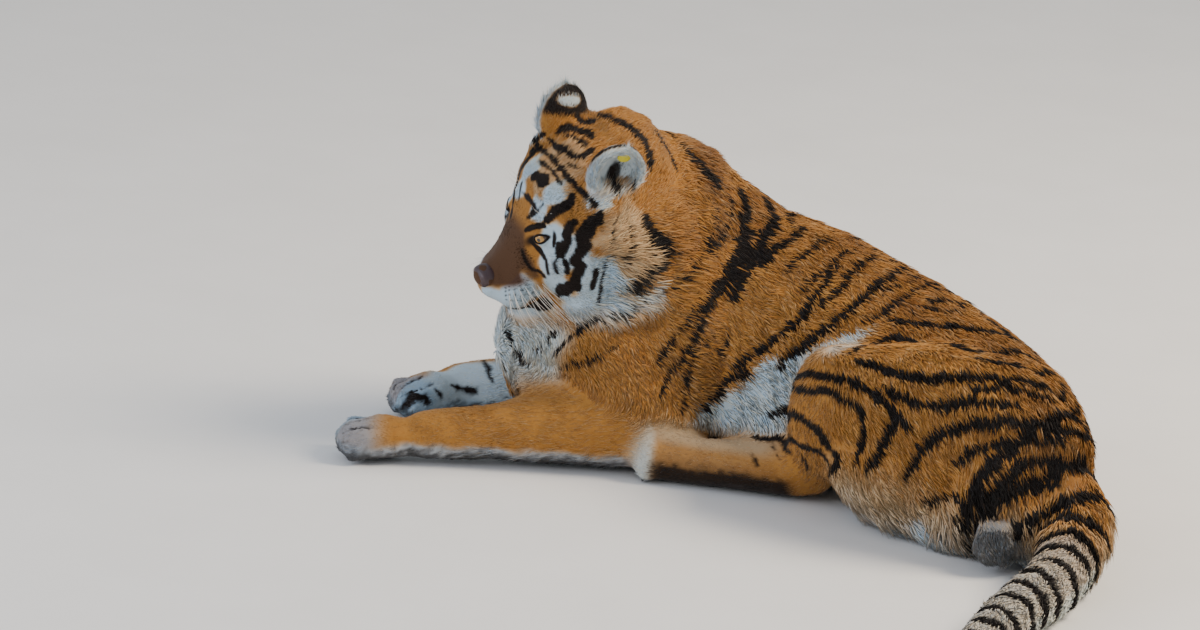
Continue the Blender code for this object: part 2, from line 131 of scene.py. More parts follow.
# ---- where the body's lines run ------------------------------------------------------------------
# The head's own frame is x forwards, y to its left and z up, from the middle of the skull.
HEAD_AT = Vector((-0.083, -0.012, 0.500))
HEAD_TURN = (
    Matrix.Rotation(math.radians(234.2), 3, "Z")
    @ Matrix.Rotation(math.radians(25.3), 3, "Y")
    @ Matrix.Rotation(math.radians(-17.4), 3, "X")
)
EYE_AT = Vector((0.102, 0.059, 0.038))
EYE_RADIUS = 0.018
NOSE_AT = Vector((0.229, 0, -0.036))
EAR_AT = Vector((-0.042, 0.106, 0.119))
EAR_LIFT = 0.033
EAR_HALF_WIDTH = 0.060
EAR_HALF_HEIGHT = 0.068
FLOOR_GAP = 0.0012


def box_middle(node: str) -> Vector:
    """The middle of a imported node's box."""
    low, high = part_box(node)
    return (Vector(low) + Vector(high)) / 2


# The body's lines are set out from the point that the head is measured from, wherever it is packed.
EYES_MIDDLE = (box_middle("eye_left") + box_middle("eye_right")) / 2
ORIGIN = EYES_MIDDLE - HEAD_TURN @ Vector((EYE_AT.x, 0, EYE_AT.z)) - HEAD_AT
HEAD_ORIGIN = np.array(ORIGIN + HEAD_AT)
HEAD_AXES = np.array(HEAD_TURN)


def to_head(places: Array) -> Array:
    """Places in the head's own frame."""
    return (places - HEAD_ORIGIN) @ HEAD_AXES


def from_head(places: Array) -> Array:
    """Places in the row frame, from the head's own."""
    return places @ HEAD_AXES.T + HEAD_ORIGIN


def from_body(points: tuple) -> Array:
    """Places in the row frame, from centimetres off the point that the body's lines are set out from."""
    return np.array(points) / 100 + np.array(ORIGIN)


def ear_axes(sign: int) -> Array:
    """Columns across an ear, out of its opening and to its tip, in the head's frame."""
    tip_way = unit(np.array((-0.50, sign * 0.16, 0.85)))
    open_way = np.array((0.14, sign * 0.94, 0.12))
    open_way = unit(open_way - tip_way * np.dot(open_way, tip_way))
    return np.stack((np.cross(tip_way, open_way), open_way, tip_way), axis=1)


def to_ear(places: Array, sign: int) -> Array:
    """Places in an ear's frame, from the row frame."""
    axes = ear_axes(sign)
    middle = np.array((EAR_AT.x, sign * EAR_AT.y, EAR_AT.z)) + axes[:, 2] * EAR_LIFT
    return (to_head(places) - middle) @ axes


@dataclass
class BodyLine:
    """A smooth centre line. A place on the skin has a station along it and an angle round it.

    The angle is 0 on top, and grows to the left as seen by one who looks along the line from above.
    Past the end of the line the station goes on round the end, END_TURN for a quarter turn.
    """

    points: tuple
    samples: int = 120
    end_turn: float = 0.18
    path: Array = field(init=False)
    stations: Array = field(init=False)
    along: Array = field(init=False)
    up: Array = field(init=False)
    left: Array = field(init=False)

    def __post_init__(self) -> None:
        """Works out the places, stations and axes along the line."""
        self.path = curve_through(np.array(self.points) + np.array(ORIGIN), self.samples)
        lengths = np.linalg.norm(np.diff(self.path, axis=0), axis=1)
        self.stations = np.concatenate([[0], np.cumsum(lengths)])
        self.along = unit(np.gradient(self.path, axis=0))
        upright = np.array((0.0, 0.0, 1.0))
        self.up = unit(upright - self.along * dot(self.along, upright))
        self.left = np.cross(self.along, self.up)

    @property
    def length(self) -> float:
        """How long the line is."""
        return float(self.stations[-1])

    def nearest(self, places: Array) -> Array:
        """The number of the nearest sample for each place."""
        made = np.empty(len(places), dtype=int)
        block = 20000
        for start in range(0, len(places), block):
            part = places[start : start + block]
            gaps = np.sum((part[:, None, :] - self.path[None, :, :]) ** 2, axis=2)
            made[start : start + block] = np.argmin(gaps, axis=1)
        return made

    def locate(self, places: Array) -> tuple[Array, Array, Array]:
        """Where the places are, seen from the line.

        Args:
            places: Rows of x, y, z.

        Returns:
            The station in metres, the angle in degrees and the distance from the line.
        """
        near = self.nearest(places)
        gap = places - self.path[near]
        ahead = dot(gap, self.along[near])
        off = gap - ahead * self.along[near]
        reach = np.linalg.norm(off, axis=1)
        angle = np.degrees(np.arctan2(dot(off, self.left[near])[:, 0], dot(off, self.up[near])[:, 0]))
        ahead = ahead[:, 0]
        turn = np.arctan2(np.abs(ahead), reach) / (math.pi / 2) * self.end_turn
        station = self.stations[near] + ahead
        station = np.where((near == self.samples - 1) & (ahead > 0), self.length + turn, station)
        station = np.where((near == 0) & (ahead < 0), -turn, station)
        return station, angle, reach

    def ray(self, station: float, angle: float) -> tuple[Vector, Vector]:
        """The point on the line and the way out of the body for one station and angle."""
        inside = min(max(station, 0.0), self.length)
        row = [np.interp(inside, self.stations, column) for column in self.path.T]
        near = int(np.argmin(np.abs(self.stations - inside)))
        turn = (station - inside) / self.end_turn * math.pi / 2
        bend = math.radians(angle)
        out = self.up[near] * math.cos(bend) + self.left[near] * math.sin(bend)
        out = out * math.cos(turn) + self.along[near] * math.sin(turn)
        return Vector(row), Vector(out)


TRUNK_LINE = BodyLine(
    (
        (-0.150, 0.050, 0.215),
        (-0.085, 0.105, 0.240),
        (0.010, 0.175, 0.265),
        (0.130, 0.230, 0.262),
        (0.280, 0.255, 0.248),
        (0.430, 0.245, 0.230),
        (0.580, 0.222, 0.210),
        (0.720, 0.188, 0.190),
        (0.830, 0.145, 0.174),
        (0.905, 0.100, 0.162),
        (0.945, 0.070, 0.150),
    )
)
NECK_LINE = BodyLine(
    (
        (-0.060, 0.040, 0.500),
        (0.000, 0.115, 0.455),
        (0.060, 0.175, 0.400),
        (0.135, 0.240, 0.345),
    )
)
TAIL_LINE = BodyLine(
    (
        (0.925, 0.090, 0.170),
        (1.000, 0.056, 0.146),
        (1.056, 0.010, 0.114),
        (1.080, -0.052, 0.082),
        (1.114, -0.190, 0.061),
        (1.130, -0.352, 0.056),
        (1.145, -0.475, 0.052),
        (1.165, -0.600, 0.048),
        (1.190, -0.715, 0.044),
        (1.205, -0.820, 0.039),
    )
)
FORELEG_LINES = {
    "left": BodyLine(
        (
            (-0.020, -0.010, 0.280),
            (0.095, 0.005, 0.095),
            (-0.262, -0.262, 0.054),
            (-0.348, -0.322, 0.043),
        )
    ),
    "right": BodyLine(
        (
            (-0.160, 0.190, 0.270),
            (-0.060, 0.290, 0.095),
            (-0.378, 0.055, 0.054),
            (-0.415, -0.026, 0.043),
        )
    ),
}
HINDLEG_LINES = {
    "left": BodyLine(((0.505, 0.010, 0.262), (0.445, 0.055, 0.056), (0.155, -0.030, 0.046))),
    "right": BodyLine(((0.530, 0.410, 0.120), (0.700, 0.430, 0.052), (0.400, 0.480, 0.042))),
}


def toe_clefts(line: BodyLine, tree: BVHTree) -> list:
    """The lines between the four toes at the end of a leg, on a hide kept as a tree."""
    made = []
    for angle in (-46, 0, 46):
        rays = [line.ray(line.length + ahead, angle) for ahead in (-0.012, 0.020, 0.055, 0.090, 0.120)]
        hits = [tree.ray_cast(start, way, 0.065)[0] for start, way in rays]
        if all(hit is not None for hit in hits):
            made.append(np.array([tuple(hit) for hit in hits]))
    return made


# ---- the stretches of the body and their coats ---------------------------------------------------
class Part(Enum):
    """The stretches of the body, each with a coat of its own."""

    FACE = "face"
    CROWN = "crown"
    RUFF = "ruff"
    NECK = "neck"
    TRUNK = "trunk"
    BELLY = "belly"
    RUMP = "rump"
    BREECH = "breech"
    THIGH = "thigh"
    SHANK = "shank"
    FOOT = "foot"
    ARM = "arm"
    FOREARM = "forearm"
    PAW = "paw"
    TAIL = "tail"
    EAR = "ear"
    POUCH = "pouch"


@dataclass(frozen=True)
class Fur:
    """One kind of coat.

    Args:
        depth: How far the skin lies under the outer shape.
        length: A tuft's length.
        width: A tuft's width at its thickest.
        lift: Degrees between the root and the skin.
        share: How closely the tufts stand beside other kinds.
    """

    depth: float
    length: float
    width: float
    lift: float
    share: float


FURS = {
    Part.FACE: Fur(0.0022, 0.010, 0.0016, 10, 9.0),
    Part.CROWN: Fur(0.0040, 0.018, 0.0021, 13, 4.4),
    Part.RUFF: Fur(0.0110, 0.052, 0.0030, 17, 2.6),
    Part.NECK: Fur(0.0095, 0.038, 0.0032, 13, 1.3),
    Part.TRUNK: Fur(0.0080, 0.033, 0.0033, 12, 1.0),
    Part.BELLY: Fur(0.0110, 0.048, 0.0036, 17, 1.0),
    Part.RUMP: Fur(0.0080, 0.034, 0.0034, 13, 1.0),
    Part.BREECH: Fur(0.0110, 0.056, 0.0038, 19, 1.0),
    Part.THIGH: Fur(0.0070, 0.031, 0.0032, 12, 1.1),
    Part.SHANK: Fur(0.0048, 0.020, 0.0026, 12, 1.7),
    Part.FOOT: Fur(0.0028, 0.012, 0.0021, 11, 2.6),
    Part.ARM: Fur(0.0068, 0.028, 0.0031, 12, 1.2),
    Part.FOREARM: Fur(0.0045, 0.020, 0.0026, 11, 1.7),
    Part.PAW: Fur(0.0026, 0.011, 0.0020, 11, 2.8),
    Part.TAIL: Fur(0.0072, 0.028, 0.0030, 14, 1.6),
    Part.EAR: Fur(0.0016, 0.011, 0.0016, 14, 5.0),
    Part.POUCH: Fur(0.0055, 0.018, 0.0028, 16, 2.0),
}

SIDES = ("left", "right")
LIMBS = {
    "upper_arm": Part.ARM,
    "forearm": Part.FOREARM,
    "forepaw": Part.PAW,
    "thigh": Part.THIGH,
    "shank": Part.SHANK,
    "hind_foot": Part.FOOT,
}
NODE_PARTS = {
    "head": Part.CROWN,
    "ear_left": Part.EAR,
    "ear_right": Part.EAR,
    "neck": Part.NECK,
    "trunk": Part.TRUNK,
    "hindquarters": Part.RUMP,
    "scrotum": Part.POUCH,
    **{f"{limb}_{side}": part for limb, part in LIMBS.items() for side in SIDES},
    **{f"tail_{stretch}": Part.TAIL for stretch in ("root", "middle", "tip")},
}
FLESH = tuple(NODE_PARTS)
PARTS = list(Part)


# ---- the skin ------------------------------------------------------------------------------------
def vertex_rows(mesh: bpy.types.Mesh, name: str) -> Array:
    """One row of three numbers for each vertex, such as its place, "co", or its "normal"."""
    rows = np.empty(len(mesh.vertices) * 3)
    mesh.vertices.foreach_get(name, rows)
    return rows.reshape(-1, 3)


def edge_ends(mesh: bpy.types.Mesh) -> Array:
    """The two vertices of each edge, as rows."""
    ends = np.empty(len(mesh.edges) * 2, dtype=int)
    mesh.edges.foreach_get("vertices", ends)
    return ends.reshape(-1, 2)


@dataclass
class Skin:
    """One closed hide inside the flesh nodes, with what is known about each of its vertices."""

    voxel: float = 0.0088
    grown: float = 0.0007
    obj: bpy.types.Object = field(init=False)
    points: Array = field(init=False)
    normals: Array = field(init=False)
    node_of: Array = field(init=False)
    edges: Array = field(init=False)
    weights: Array = field(init=False)
    tree: BVHTree = field(init=False)

    def build(self) -> None:
        """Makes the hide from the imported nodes."""
        self._wrap()
        self._label()
        self._refine()
        self._label()
        self._weigh()
        self._sink()
        self._sculpt()
        self._finish()

    def _mesh_arrays(self, names: tuple) -> tuple[Array, list, list]:
        """All vertices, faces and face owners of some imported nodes."""
        points, faces, owners = [], [], []
        for number, name in enumerate(names):
            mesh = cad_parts[name].data
            base = sum(len(part) for part in points)
            points.append(vertex_rows(mesh, "co") + vertex_rows(mesh, "normal") * self.grown)
            faces += [[base + v for v in face.vertices] for face in mesh.polygons]
            owners += [number] * len(mesh.polygons)
        return np.vstack(points), faces, owners

    def _wrap(self) -> None:
        """One closed shell round the nodes."""
        points, faces, _ = self._mesh_arrays((*FLESH, "eye_left", "eye_right", "nose_pad"))
        mesh = bpy.data.meshes.new("Skin")
        mesh.from_pydata(points.tolist(), [], faces)
        self.obj = bpy.data.objects.new("Skin", mesh)
        bpy.context.scene.collection.objects.link(self.obj)
        bpy.context.view_layer.objects.active = self.obj
        shell = self.obj.modifiers.new("Shell", "REMESH")
        shell.mode = "VOXEL"
        shell.voxel_size = self.voxel
        bpy.ops.object.modifier_apply(modifier="Shell")
        self._keep_largest()
        self._read()
        self._ease(4, 0.5)

    def _keep_largest(self) -> None:
        """Drops any small shell, such as one round a closed gap."""
        mesh = self.obj.data
        ends = edge_ends(mesh)
        group = np.arange(len(mesh.vertices))
        while True:
            least = np.minimum(group[ends[:, 0]], group[ends[:, 1]])
            fresh = group.copy()
            np.minimum.at(fresh, ends[:, 0], least)
            np.minimum.at(fresh, ends[:, 1], least)
            fresh = fresh[fresh]
            if np.array_equal(fresh, group):
                break
            group = fresh
        names, counts = np.unique(group, return_counts=True)
        if len(names) == 1:
            return
        largest = names[np.argmax(counts)]
        with self._open() as body:
            stray = [v for v in body.verts if group[v.index] != largest]
            bmesh.ops.delete(body, geom=stray, context="VERTS")

    @contextmanager
    def _open(self) -> Iterator[bmesh.types.BMesh]:
        """The hide's mesh for editing, put back at the end."""
        body = bmesh.new()
        body.from_mesh(self.obj.data)
        body.verts.ensure_lookup_table()
        yield body
        body.to_mesh(self.obj.data)
        body.free()

    def _read(self) -> None:
        """Takes the vertices, normals and edges from the mesh."""
        self.points = vertex_rows(self.obj.data, "co")
        self.normals = vertex_rows(self.obj.data, "normal")
        self.edges = edge_ends(self.obj.data)

    def _write(self) -> None:
        """Puts the vertices back into the mesh."""
        self.obj.data.vertices.foreach_set("co", self.points.ravel())
        self.obj.data.update()
        self._read()

    def spread(self, values: Array) -> Array:
        """The mean of each vertex's neighbours."""
        size = len(self.points)
        flat = values if values.ndim == 2 else values[:, None]
        total = np.zeros_like(flat)
        count = np.bincount(self.edges.ravel(), minlength=size)[:, None]
        for column in range(flat.shape[1]):
            line = flat[:, column]
            total[:, column] = np.bincount(self.edges[:, 0], line[self.edges[:, 1]], size)
            total[:, column] += np.bincount(self.edges[:, 1], line[self.edges[:, 0]], size)
        made = total / np.maximum(count, 1)
        return made if values.ndim == 2 else made[:, 0]

    def _ease(self, rounds: int, strength: float, keep: Array | None = None) -> None:
        """Relaxes the vertices, each by its own share."""
        share = strength if keep is None else (strength * (1 - keep))[:, None]
        for _ in range(rounds):
            self.points = mix(self.points, self.spread(self.points), share)
            self.points = mix(self.points, self.spread(self.points), -share * 0.92)
        self._write()

    def _label(self) -> None:
        """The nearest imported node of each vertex."""
        points, faces, owners = self._mesh_arrays(FLESH)
        tree = BVHTree.FromPolygons(points.tolist(), faces)
        self.node_of = np.array([owners[tree.find_nearest(spot)[2]] for spot in self.points.tolist()])

    def _refine(self) -> None:
        """Cuts the faces small over the head, smaller at the muzzle, and smallest at the eyes."""
        for reach, close in ((0.105, self._over_head), (0.046, self._over_muzzle), (0.034, None)):
            with self._open() as body:
                spots = to_head(np.array([v.co for v in body.verts]))
                eye = np.minimum(*(np.linalg.norm(spots - from_eye(sign), axis=1) for sign in (1, -1)))
                near = eye < reach
                if close:
                    near |= close(spots)
                chosen = [e for e in body.edges if near[e.verts[0].index] and near[e.verts[1].index]]
                bmesh.ops.subdivide_edges(body, edges=chosen, cuts=1, use_grid_fill=True, smooth=0)
            self._read()
        with self._open() as body:
            bmesh.ops.triangulate(body, faces=[f for f in body.faces if len(f.verts) > 4])
        self._read()
        head = np.linalg.norm(to_head(self.points), axis=1)
        self._ease(3, 0.5, step(head, 0.28, 0.34))

    def _over_head(self, spots: Array) -> Array:
        """Whether places in the head's frame are on the front of the head or on an ear."""
        front = (spots[:, 0] > -0.02) & (np.linalg.norm(spots, axis=1) < 0.30) & (spots[:, 2] > -0.17)
        return front | np.isin(self.node_of, (FLESH.index("ear_left"), FLESH.index("ear_right")))

    def _over_muzzle(self, spots: Array) -> Array:
        """Whether places in the head's frame are on the muzzle."""
        return np.linalg.norm(spots - np.array((0.190, 0.0, -0.065)), axis=1) < 0.080

    def _weigh(self) -> None:
        """How much of each vertex belongs to each stretch of the body."""
        named = [PARTS.index(NODE_PARTS[name]) for name in FLESH]
        raw = np.zeros((len(self.points), len(PARTS)))
        raw[np.arange(len(self.points)), np.array(named)[self.node_of]] = 1
        self._split_head(raw)
        self._split_body(raw)
        for _ in range(14):
            raw = mix(raw, self.spread(raw), 0.6)
        self.weights = raw / raw.sum(axis=1, keepdims=True)

    def _move(self, raw: Array, source: Part, target: Part, share: Array) -> None:
        """Gives a share of one stretch's weight to another."""
        amount = raw[:, PARTS.index(source)] * np.clip(share, 0, 1)
        raw[:, PARTS.index(source)] -= amount
        raw[:, PARTS.index(target)] += amount

    def _split_head(self, raw: Array) -> None:
        """Face in front, ruff behind the cheeks, crown above."""
        spots = to_head(self.points)
        x, y, z = spots.T
        ruff = step(x, 0.050, 0.005) * step(z, 0.035, -0.020) * step(np.abs(y), 0.030, 0.070)
        ruff = np.maximum(ruff, step(x, 0.085, 0.030) * step(z, -0.085, -0.120))
        self._move(raw, Part.CROWN, Part.RUFF, ruff)
        self._move(raw, Part.CROWN, Part.FACE, step(x, 0.015, 0.070))
        close = step(np.linalg.norm(spots - np.array((-0.04, 0, -0.08)), axis=1), 0.235, 0.19)
        self._move(raw, Part.NECK, Part.RUFF, close * step(z, 0.03, -0.05) * step(x, -0.22, -0.12))

    def _split_body(self, raw: Array) -> None:
        """Longer hair on the belly and down the back of the haunches."""
        station, angle, _ = TRUNK_LINE.locate(self.points)
        low = step(self.points[:, 2], 0.10, 0.05)
        belly = step(np.abs(angle), 104, 128) * step(station, 0.95, 0.80)
        self._move(raw, Part.TRUNK, Part.BELLY, belly)
        behind = step(station, TRUNK_LINE.length - 0.12, TRUNK_LINE.length + 0.02)
        breech = behind * step(self.points[:, 2], 0.20, 0.11)
        for source in (Part.RUMP, Part.THIGH):
            self._move(raw, source, Part.BREECH, np.maximum(breech, low * step(station, 0.80, 0.95)))

    def blend(self, values: dict) -> Array:
        """A number for each vertex from one number for each stretch."""
        return self.weights @ np.array([values[part] for part in PARTS])

    def _sink(self) -> None:
        """Moves the hide in by the depth of the coat, and keeps it clear of the floor."""
        depth = self.blend({part: fur.depth for part, fur in FURS.items()})
        depth = depth * mix(0.45, 1.0, step(self.points[:, 2], 0.010, 0.060))
        ways = self.normals.copy()
        for _ in range(6):
            ways = unit(mix(ways, self.spread(ways), 0.6))
        self.points = self.points - ways * (depth + self.grown)[:, None]
        self._write()
        self._ease(2, 0.4)

    def _sculpt(self) -> None:
        """Lids round the eyes, the line of the mouth, the nose's bed and the clefts between toes."""
        for sign in (1, -1):
            self._lids(sign)
        mouth = np.vstack([mouth_line(1)[::-1], mouth_line(-1)[1:]])
        self._groove(from_head(curve_through(mouth, 60)), 0.0055, 0.0042)
        self._groove(from_head(curve_through(np.array(LIP_CLEFT), 20)), 0.0030, 0.0030)
        for sign in (1, -1):
            self._groove(from_head(curve_through(lid_fold(sign), 40)), 0.0016, 0.0030)
        tree = BVHTree.FromPolygons(self.points.tolist(), [tuple(f.vertices) for f in self.obj.data.polygons])
        for line in (*FORELEG_LINES.values(), *HINDLEG_LINES.values()):
            for cleft in toe_clefts(line, tree):
                self._groove(curve_through(cleft, 30), 0.0045, 0.0042)
        self._nose_bed()
        self._write()

    def _groove(self, path: Array, depth: float, width: float) -> None:
        """Presses a line into the hide."""
        near = np.flatnonzero(np.linalg.norm(self.points - path.mean(axis=0), axis=1) < 0.16)
        gap = np.linalg.norm(self.points[near][:, None, :] - path[None, :, :], axis=2).min(axis=1)
        self.points[near] -= self.normals[near] * (depth * np.exp(-((gap / width) ** 2)))[:, None]

    def _nose_bed(self) -> None:
        """Draws the hide in behind the bare pad."""
        gap = (to_head(self.points) - NOSE_MIDDLE) / np.array(NOSE_PAD_RADII)
        reach = np.linalg.norm(gap, axis=1)
        share = step(reach, 1.35, 1.0)
        scale = mix(1.02, 0.84, step(gap[:, 0], 0.05, 0.45))
        inside = NOSE_MIDDLE + gap * np.array(NOSE_PAD_RADII) * (scale / np.maximum(reach, 0.2))[:, None]
        self.points = mix(self.points, from_head(inside), share[:, None])

    def _lids(self, sign: int) -> None:
        """Closes the hide over an eye but for an almond between the lids."""
        middle = from_eye(sign)
        across, edge, turned, reach = eye_chart(self.points, sign)
        lid = mix(0.0150, 0.0200, step(edge, -0.0008, 0.0006))
        lid = lid + 0.0009 * np.exp(-(((edge - 0.0016) / 0.0012) ** 2))
        blend = step(turned, 78, 46) * (reach < 0.060)
        spots = to_head(self.points)
        ways = unit(spots - middle)
        moved = middle + ways * mix(reach, lid, blend)[:, None]
        self.points = np.where((blend > 0)[:, None], from_head(moved), self.points)

    def _finish(self) -> None:
        """Unwraps the hide, and joins it to the frame in place of the flesh."""
        mesh = self.obj.data
        mesh.polygons.foreach_set("use_smooth", np.ones(len(mesh.polygons), dtype=bool))
        bpy.ops.object.select_all(action="DESELECT")
        self.obj.select_set(True)
        bpy.context.view_layer.objects.active = self.obj
        mesh.uv_layers.new(name="OFBake")
        bpy.ops.object.mode_set(mode="EDIT")
        bpy.ops.mesh.select_all(action="SELECT")
        bpy.ops.mesh.quads_convert_to_tris(quad_method="BEAUTY", ngon_method="BEAUTY")
        bpy.ops.uv.smart_project(angle_limit=math.radians(70), island_margin=0.001)
        bpy.ops.object.mode_set(mode="OBJECT")
        self._read()
        self.tree = BVHTree.FromPolygons(self.points.tolist(), [tuple(f.vertices) for f in mesh.polygons])
        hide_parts(*FLESH)
        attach(self.obj, BODY)


# ---- the small forms of the face -----------------------------------------------------------------
EYE_GAZE = (0.74, 0.55, 0.38)
EYE_SPAN = (-0.50, 0.75, 0.34)
LID_HALF_LENGTH = 0.0160
LID_HALF_HEIGHT = 0.0062
NOSE_MIDDLE = np.array((0.2235, 0.0, -0.0370))
NOSE_PAD_RADII = (0.0245, 0.0275, 0.0225)
LIP_CLEFT = ((0.232, 0, -0.056), (0.228, 0, -0.066), (0.221, 0, -0.076))


def from_eye(sign: int) -> Array:
    """The middle of an eye in the head's frame, with sign 1 for the left."""
    return np.array((EYE_AT.x, sign * EYE_AT.y, EYE_AT.z))


def eye_chart(places: Array, sign: int) -> tuple[Array, Array, Array, Array]:
    """Where places are about an eye.

    Args:
        places: Rows in the row frame.
        sign: 1 for the left eye and -1 for the right.

    Returns:
        Metres towards the outer corner, metres outside the almond of the lids, degrees from the gaze and
        metres from the eye's middle.
    """
    gaze = unit(np.array((EYE_GAZE[0], sign * EYE_GAZE[1], EYE_GAZE[2])))
    span = np.array((EYE_SPAN[0], sign * EYE_SPAN[1], EYE_SPAN[2]))
    span = unit(span - gaze * np.dot(span, gaze))
    rise = np.cross(gaze, span) * sign
    gap = to_head(places) - from_eye(sign)
    reach = np.linalg.norm(gap, axis=1)
    way = gap / np.maximum(reach, 1e-9)[:, None]
    turned = np.degrees(np.arccos(np.clip(way @ gaze, -1, 1)))
    across = np.arctan2(way @ span, way @ gaze) * EYE_RADIUS
    above = np.arctan2(way @ rise, np.hypot(way @ gaze, way @ span)) * EYE_RADIUS
    share = np.clip(1 - (across / LID_HALF_LENGTH) ** 2, 0, 1)
    opening = LID_HALF_HEIGHT * share**0.8 * np.where(above > 0, 1.05, 0.95)
    beyond = np.maximum(np.abs(across) - LID_HALF_LENGTH, 0)
    edge = np.where(beyond > 0, np.hypot(beyond, above), np.abs(above) - opening)
    return across, edge, turned, reach


def lid_fold(sign: int) -> Array:
    """The fold above an eye, in the head's frame."""
    points = ((0.122, 0.040, 0.056), (0.108, 0.060, 0.064), (0.088, 0.076, 0.062), (0.074, 0.088, 0.052))
    return np.array([(x, sign * y, z) for x, y, z in points])


def mouth_line(sign: int) -> Array:
    """Where the lips meet, from the middle of the front back to one corner, in the head's frame."""
    points = (
        (0.220, 0.000, -0.076),
        (0.215, 0.026, -0.080),
        (0.198, 0.050, -0.083),
        (0.170, 0.068, -0.087),
        (0.140, 0.080, -0.092),
        (0.112, 0.092, -0.092),
    )
    return np.array([(x, sign * y, z) for x, y, z in points])


# ---- the markings --------------------------------------------------------------------------------
# Each stroke is a full width in millimetres and the points of its middle line. Those of the trunk and the
# limbs are in centimetres from the same point as the body's lines, and those of the head in millimetres in
# its own frame. They are set for the left side, and those of the trunk and the head are carried over to the
# right. Those of the right shank are stations in metres and angles in degrees on its line.
TRUNK_STROKES = (
    (20, ((16.5, 20, 56), (21, 16, 50), (22.5, 9.5, 43), (19, 1.5, 34))),
    (6, ((19, 1.5, 34), (16, -1, 29.5), (14, -2, 25.5), (13.5, -3.5, 23))),
    (8, ((17, 15.5, 55.5), (18.5, 14.5, 52.5), (19, 11.5, 49.5), (18, 9.5, 47), (18, 7, 44.5))),
    (20, ((18.5, 27, 53), (24, 21.5, 50.5), (25, 11.5, 44.5), (24, 6, 36.5))),
    (14, ((29.5, 24, 50), (29.5, 19.5, 49), (29, 16.5, 47.5), (27.5, 13.5, 45.5), (27, 11, 43.5))),
    (10, ((24, 28.5, 50.5), (27, 22, 50))),
    (8, ((36, 25, 48.5), (35, 21, 48), (34, 17, 46.5), (33, 14.5, 45), (32, 12, 42.5))),
    (8, ((41.5, 24, 47.5), (40, 21, 47), (39.5, 16.5, 45), (38, 13, 43), (37, 10, 40))),
    (12, ((41, 17.5, 45.5), (40, 11.5, 41), (37.5, 7, 34.5), (31.5, 5.5, 28.5), (25.5, 4.5, 22))),
    (10, ((45, 27, 46.5), (44.5, 20.5, 46), (44, 14.5, 43), (43, 11.5, 41), (41.5, 9.5, 38))),
    (14, ((50.5, 30.5, 44), (50, 16.5, 43), (47, 10, 38.5), (41.5, 6, 32), (35, 5, 25))),
    (10, (
        (58, 30, 42), (57, 24.5, 43.5), (56.5, 19, 43),
        (55.5, 15, 41.5), (54, 12, 39.5), (51, 9.5, 37.5),
    )),
    (8, ((53.5, 20, 44), (52.5, 17, 43), (52.5, 15, 42))),
    (6, ((57.5, 29, 42.5), (53.5, 31, 43), (54.5, 22, 44))),
    (8, ((65.5, 27.5, 40.5), (63.5, 24.5, 41.5), (61.5, 21.5, 42), (60.5, 18, 42))),
    (6, ((66.5, 22, 40.5), (64.5, 18, 41), (61, 17, 41), (59.5, 14.5, 40.5))),
    (10, ((77, 24, 37), (73.5, 25, 38.5), (69, 26, 39.5))),
    (10, ((79, 25.5, 35.5), (72.5, 18.5, 39), (63.5, 13.5, 39), (56, 11.5, 38.5))),
    (12, (
        (87.5, 22.5, 32.5), (81, 18, 36.5), (77.5, 4.5, 39),
        (65, 9, 36.5), (57, 8.5, 35.5), (54.5, -2, 34.5),
    )),
    (10, ((89, 22, 32), (87.5, 15, 34), (86.5, 5, 38), (82.5, 2.5, 38.5), (79.5, 1.5, 38.5))),
    (14, ((94, 16, 29.5), (90.5, 2.5, 36), (81.5, -2.5, 36), (72, -5, 34), (57, -3, 34))),
    (10, ((96.5, 8, 31.5), (93, 2, 34), (89, -1, 35), (82.5, -4, 34))),
    (14, ((92.5, -1.5, 32), (83.5, -5.5, 32), (74.5, -7.5, 29.5), (64.5, -6.5, 31))),
    (16, (
        (99.5, 19.5, 18.5), (101, 3, 27.5), (93, -3, 29),
        (84.5, -7, 27.5), (77.5, -8.5, 23), (71.5, -7.5, 13.5),
    )),
    (14, ((101.5, 1.5, 26), (93.5, -3.5, 25.5), (87.5, -7, 23.5), (82, -8, 19))),
    (16, (
        (106.5, 7.5, 18), (102.5, 1, 22), (96, -3, 21.5),
        (93.5, -7, 18.5), (90, -9, 14.5), (75.5, -6.5, 9.5),
    )),
    (12, ((102, -0.5, 18.5), (99, -2, 16.5), (98, -3.5, 15.5))),
    (10, ((93, -7.5, 12), (89.5, -9, 10.5), (85.5, -7.5, 8.5), (81.5, -6, 6))),
    (14, ((39, 4.5, 22.5), (51.5, -5.5, 30), (62.5, -7, 29.5), (73, -8.5, 24.5))),
    (12, ((39.5, 4, 22), (52, -6.5, 27), (57.5, -7, 26.5), (62, -7.5, 24), (60.5, -6.5, 13.5))),
    (14, ((67.5, -8, 27), (69, -8.5, 25.5), (67.5, -8, 21.5), (65.5, -7, 17), (63.5, -7.5, 13))),
    (10, ((21, 3, 35), (19.5, 1, 30), (18, 0, 26), (15.5, -1, 21.5), (15, -3.5, 17))),
    (6, ((22.5, 3.5, 30), (20, 1, 26), (18.5, 0.5, 22), (18, 1, 17), (19, -0.5, 13))),
    (6, ((25.5, 5.5, 31.5), (24, 4.5, 27), (23.5, 4, 25.5))),
    (12, ((30, 5, 23.5), (27, 5, 21), (23, 5.5, 17.5), (21, 5, 12.5))),
)  # fmt: skip
